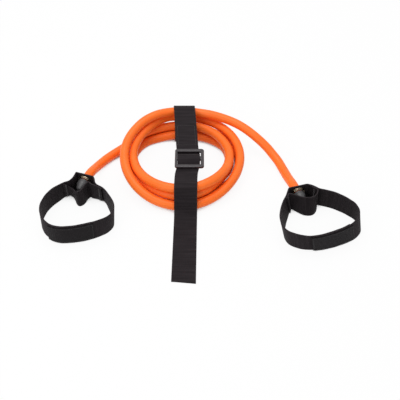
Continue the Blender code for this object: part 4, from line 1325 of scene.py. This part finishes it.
sewnLoop, bridge, tail = strapLines()
flatStrap = smoothCurve([*sewnLoop, *bridge, *tail], strapSizes["step"])
wanderY, wanderX = zip(*strapSizes["wander"])
strapX = softened(np.interp(flatStrap[:, 0], wanderY, wanderX), strapSizes["softening"])
strapMiddle = np.column_stack([strapX, flatStrap[:, 0], np.maximum(flatStrap[:, 1], webThick / 2)])
strapLengths = lengthsAlong(strapMiddle)
cuts = {
    "start": 0,
    "bridge": nearest(flatStrap, sewnLoop[-1]),
    "rear": nearest(flatStrap, bridge[1]),
    "front": nearest(flatStrap, bridge[-3]),
    "tail": nearest(flatStrap, tail[0]),
    "end": len(flatStrap) - 1,
}


def strapPart(name, begin, end, slant=0.0):
    stretch = strapMiddle[cuts[begin]:cuts[end] + 1]
    startsAt = strapLengths[cuts[begin]]
    return sweepBand(name, stretch, (1, 0, 0), webWidth, webThick, webbing, startsAt, slant)


sewnPart = strapPart("strapSewnLoop", "start", "bridge")
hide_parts("strap_sewn_loop")
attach(sewnPart, "tube_and_strap")
rearPart = strapPart("strapIntoSlider", "bridge", "rear")
overPart = strapPart("strapOverBar", "rear", "front")
frontPart = strapPart("strapOutOfSlider", "front", "tail")
for part in (rearPart, overPart, frontPart):
    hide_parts("strap_slider_bridge")
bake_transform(rearPart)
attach(overPart, "buckle")
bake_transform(frontPart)
tailPart = strapPart("strapTail", "tail", "end", strapSizes["tailSlant"])
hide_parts("strap_tail")
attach(tailPart, "tube_and_strap")

# box stitching through the lap
boxStitch = {
    "from": 0.0615,
    "to": 0.0945,
    "sides": 0.0110,
    "pitch": 0.0028,
    "length": 0.0025,
    "radius": 0.00028,
}


def topOfSpan(y):
    crestIndex = int(np.argmax(strapMiddle[:, 2]))
    stretch = strapMiddle[crestIndex:cuts["bridge"] + 1][::-1]
    z = np.interp(y, stretch[:, 1], stretch[:, 2]) + webThick / 2
    return np.array([np.interp(y, stretch[:, 1], stretch[:, 0]), y, z])


def boxRows():
    sides, low, high = boxStitch["sides"], boxStitch["from"], boxStitch["to"]
    corners = ((-sides, low), (sides, low), (sides, high), (-sides, high), (-sides, low))
    upwards = unit(np.array([0.0, -(topOfSpan(high)[2] - topOfSpan(low)[2]) / (high - low), 1.0]))
    rows = []
    for (x0, y0), (x1, y1) in zip(corners, corners[1:]):
        shares = np.linspace(0, 1, 12)
        points = [topOfSpan(y0 + (y1 - y0) * t) + np.array([x0 + (x1 - x0) * t, 0.0, 0.0]) for t in shares]
        rows.append(stitchesAlong(points, upwards, boxStitch["pitch"]))
    return rows


boxSeam = sewn("strapBoxStitching", boxRows(), boxStitch["length"], boxStitch["radius"], thread)
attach(boxSeam, "tube_and_strap")
print("strap made: %.3f m of webbing" % strapLengths[-1])


def roundedOutline(width, length, corner, middle, steps):
    points = []
    for quarter, (x, y) in enumerate(((1, 1), (-1, 1), (-1, -1), (1, -1))):
        for part in range(steps + 1):
            angle = math.radians(90 * quarter + 90 * part / steps)
            points.append((
                x * (width / 2 - corner) + corner * math.cos(angle) + middle[0],
                middle[1] + y * (length / 2 - corner) + corner * math.sin(angle),
            ))
    return points


def slab(name, outline, low, high):
    count = len(outline)
    vertices = [(x, y, z) for z in (low, high) for x, y in outline]
    faces = [tuple(range(count))[::-1], tuple(range(count, 2 * count))]
    faces += [(i, (i + 1) % count, count + (i + 1) % count, count + i) for i in range(count)]
    return linkMesh(name, vertices, faces, sliderPlastic, zero=0.0)  # set in its place later


def slottedPlate(name):
    # a plate with rounded corners, two slots cut through it, and its edges rounded
    width, length, thickness = sliderSizes["width"], sliderSizes["length"], sliderSizes["thickness"]
    outline = roundedOutline(width, length, sliderSizes["corner"], (0.0, 0.0), sliderSizes["cornerSteps"])
    plate = slab("sliderPlate", outline, 0.0, thickness)
    slot = length / 2 - sliderSizes["endBar"] - sliderSizes["middleBar"] / 2
    slotWidth = width - 2 * sliderSizes["sideBar"]
    cutters = []
    for way in (1, -1):
        middle = (sliderSizes["slotShift"], way * (sliderSizes["middleBar"] + slot) / 2)
        outline = roundedOutline(
            slotWidth, slot, sliderSizes["slotCorner"], middle, sliderSizes["slotCornerSteps"],
        )
        cutters.append(slab("slotCutter", outline, *sliderSizes["cutterReach"]))
        cut = plate.modifiers.new("slot", "BOOLEAN")
        cut.operation = "DIFFERENCE"
        cut.solver = "EXACT"
        cut.object = cutters[-1]
    edge = plate.modifiers.new("edge", "BEVEL")
    edge.width = sliderSizes["edge"]
    edge.segments = sliderSizes["edgeSteps"]
    edge.limit_method = "ANGLE"
    edge.angle_limit = math.radians(sliderSizes["sharpFromDeg"])
    mesh = modelledMesh(name, plate)
    for spent in (plate, *cutters):
        bpy.data.objects.remove(spent)
    return mesh


def placedSlider(name):
    # the plate tilted and set in its place on the strap
    mesh = slottedPlate(name)
    tilt = math.radians(sliderSizes["tiltDeg"])
    points = np.zeros(3 * len(mesh.vertices))
    mesh.vertices.foreach_get("co", points)
    across, along, above = points.reshape(-1, 3).T
    turned = np.column_stack([
        across,
        along * math.cos(tilt) - above * math.sin(tilt),
        along * math.sin(tilt) + above * math.cos(tilt),
    ])
    turned += np.array(sliderSizes["middle"]) - layoutZero
    mesh.vertices.foreach_set("co", turned.astype(np.float32).ravel())
    mesh.update()
    smoothFaces(mesh, sliderSizes["sharpFromDeg"])
    return linkObject(name, mesh)


slider = placedSlider("strapSlider")
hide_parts("tri_glide")
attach(slider, "buckle")
print("slider made")


# table and light
stageLook = {
    "size": 6.0,
    "drop": 0.0002,
    "white": 0.86,
    "roughness": 0.9,
    "shown": 0.93,
    "skyStrength": 0.62,
    "deepReach": 0.030,
    "deepSamples": 8,
    "deepBelow": 0.15,
    "deepContrast": 8.0,
}


def whiteTable():
    # shown white, but for the places that the light hardly reaches
    finish = Finish("whiteTable")
    finish.surface(
        Base_Color=grey(stageLook["white"]), Roughness=stageLook["roughness"], Specular_IOR_Level=0.1,
    )
    openness = finish.node(
        "ShaderNodeAmbientOcclusion", {"samples": stageLook["deepSamples"]},
        {"Distance": stageLook["deepReach"]}, "AO",
    )
    reached = finish.atMost((openness - stageLook["deepBelow"]) * stageLook["deepContrast"], 1.0)
    seen = finish.seenRays() * finish.maths("MAXIMUM", reached, 0.0)
    white = finish.node("ShaderNodeEmission", {}, {"Color": grey(1.0), "Strength": 1.0})
    mixed = finish.node("ShaderNodeMixShader", {}, {
        0: seen * stageLook["shown"], 1: Wire(finish, finish.shader.outputs[0]), 2: white,
    })
    finish.put(finish.tree.nodes["Material Output"].inputs["Surface"], mixed)
    return finish.material


tableReach = stageLook["size"] / 2
table = linkMesh(
    "table", [(x * tableReach, y * tableReach, 0.0) for x, y in ((-1, -1), (1, -1), (1, 1), (-1, 1))],
    [(0, 1, 2, 3)], whiteTable(),
)
table.location.z = -stageLook["drop"]

world = bpy.data.worlds.new("paleRoom")
scene.world = world
world.use_nodes = True
room = NodeTree(world.node_tree)
lighting = room.tree.nodes["Background"]
room.put(lighting.inputs["Color"], grey(1.0))
room.put(lighting.inputs["Strength"], stageLook["skyStrength"])
shown = room.node("ShaderNodeBackground", {}, {"Color": grey(1.0), "Strength": 1.0})
chosen = room.node("ShaderNodeMixShader", {}, {
    0: room.seenRays(), 1: Wire(room, lighting.outputs[0]), 2: shown,
})
room.put(room.tree.nodes["World Output"].inputs["Surface"], chosen)

lamps = (
    {"name": "overhead", "at": (-0.15, 0.25, 1.30), "aim": (0.0, 0.0, 0.0), "size": 0.9, "watts": 9.0},
    {"name": "front", "at": (-0.75, -0.95, 0.75), "aim": (0.0, 0.0, 0.0), "size": 0.7, "watts": 4.0},
)
for lamp in lamps:
    light = bpy.data.lights.new(lamp["name"], "AREA")
    light.shape = "SQUARE"
    light.size = lamp["size"]
    light.energy = lamp["watts"]
    body = bpy.data.objects.new(lamp["name"], light)
    body.location = lamp["at"]
    aim = Vector(lamp["aim"]) - Vector(lamp["at"])
    body.rotation_euler = aim.to_track_quat("-Z", "Y").to_euler()
    scene.collection.objects.link(body)
scene.view_settings.view_transform = "Standard"
print("table and light set")
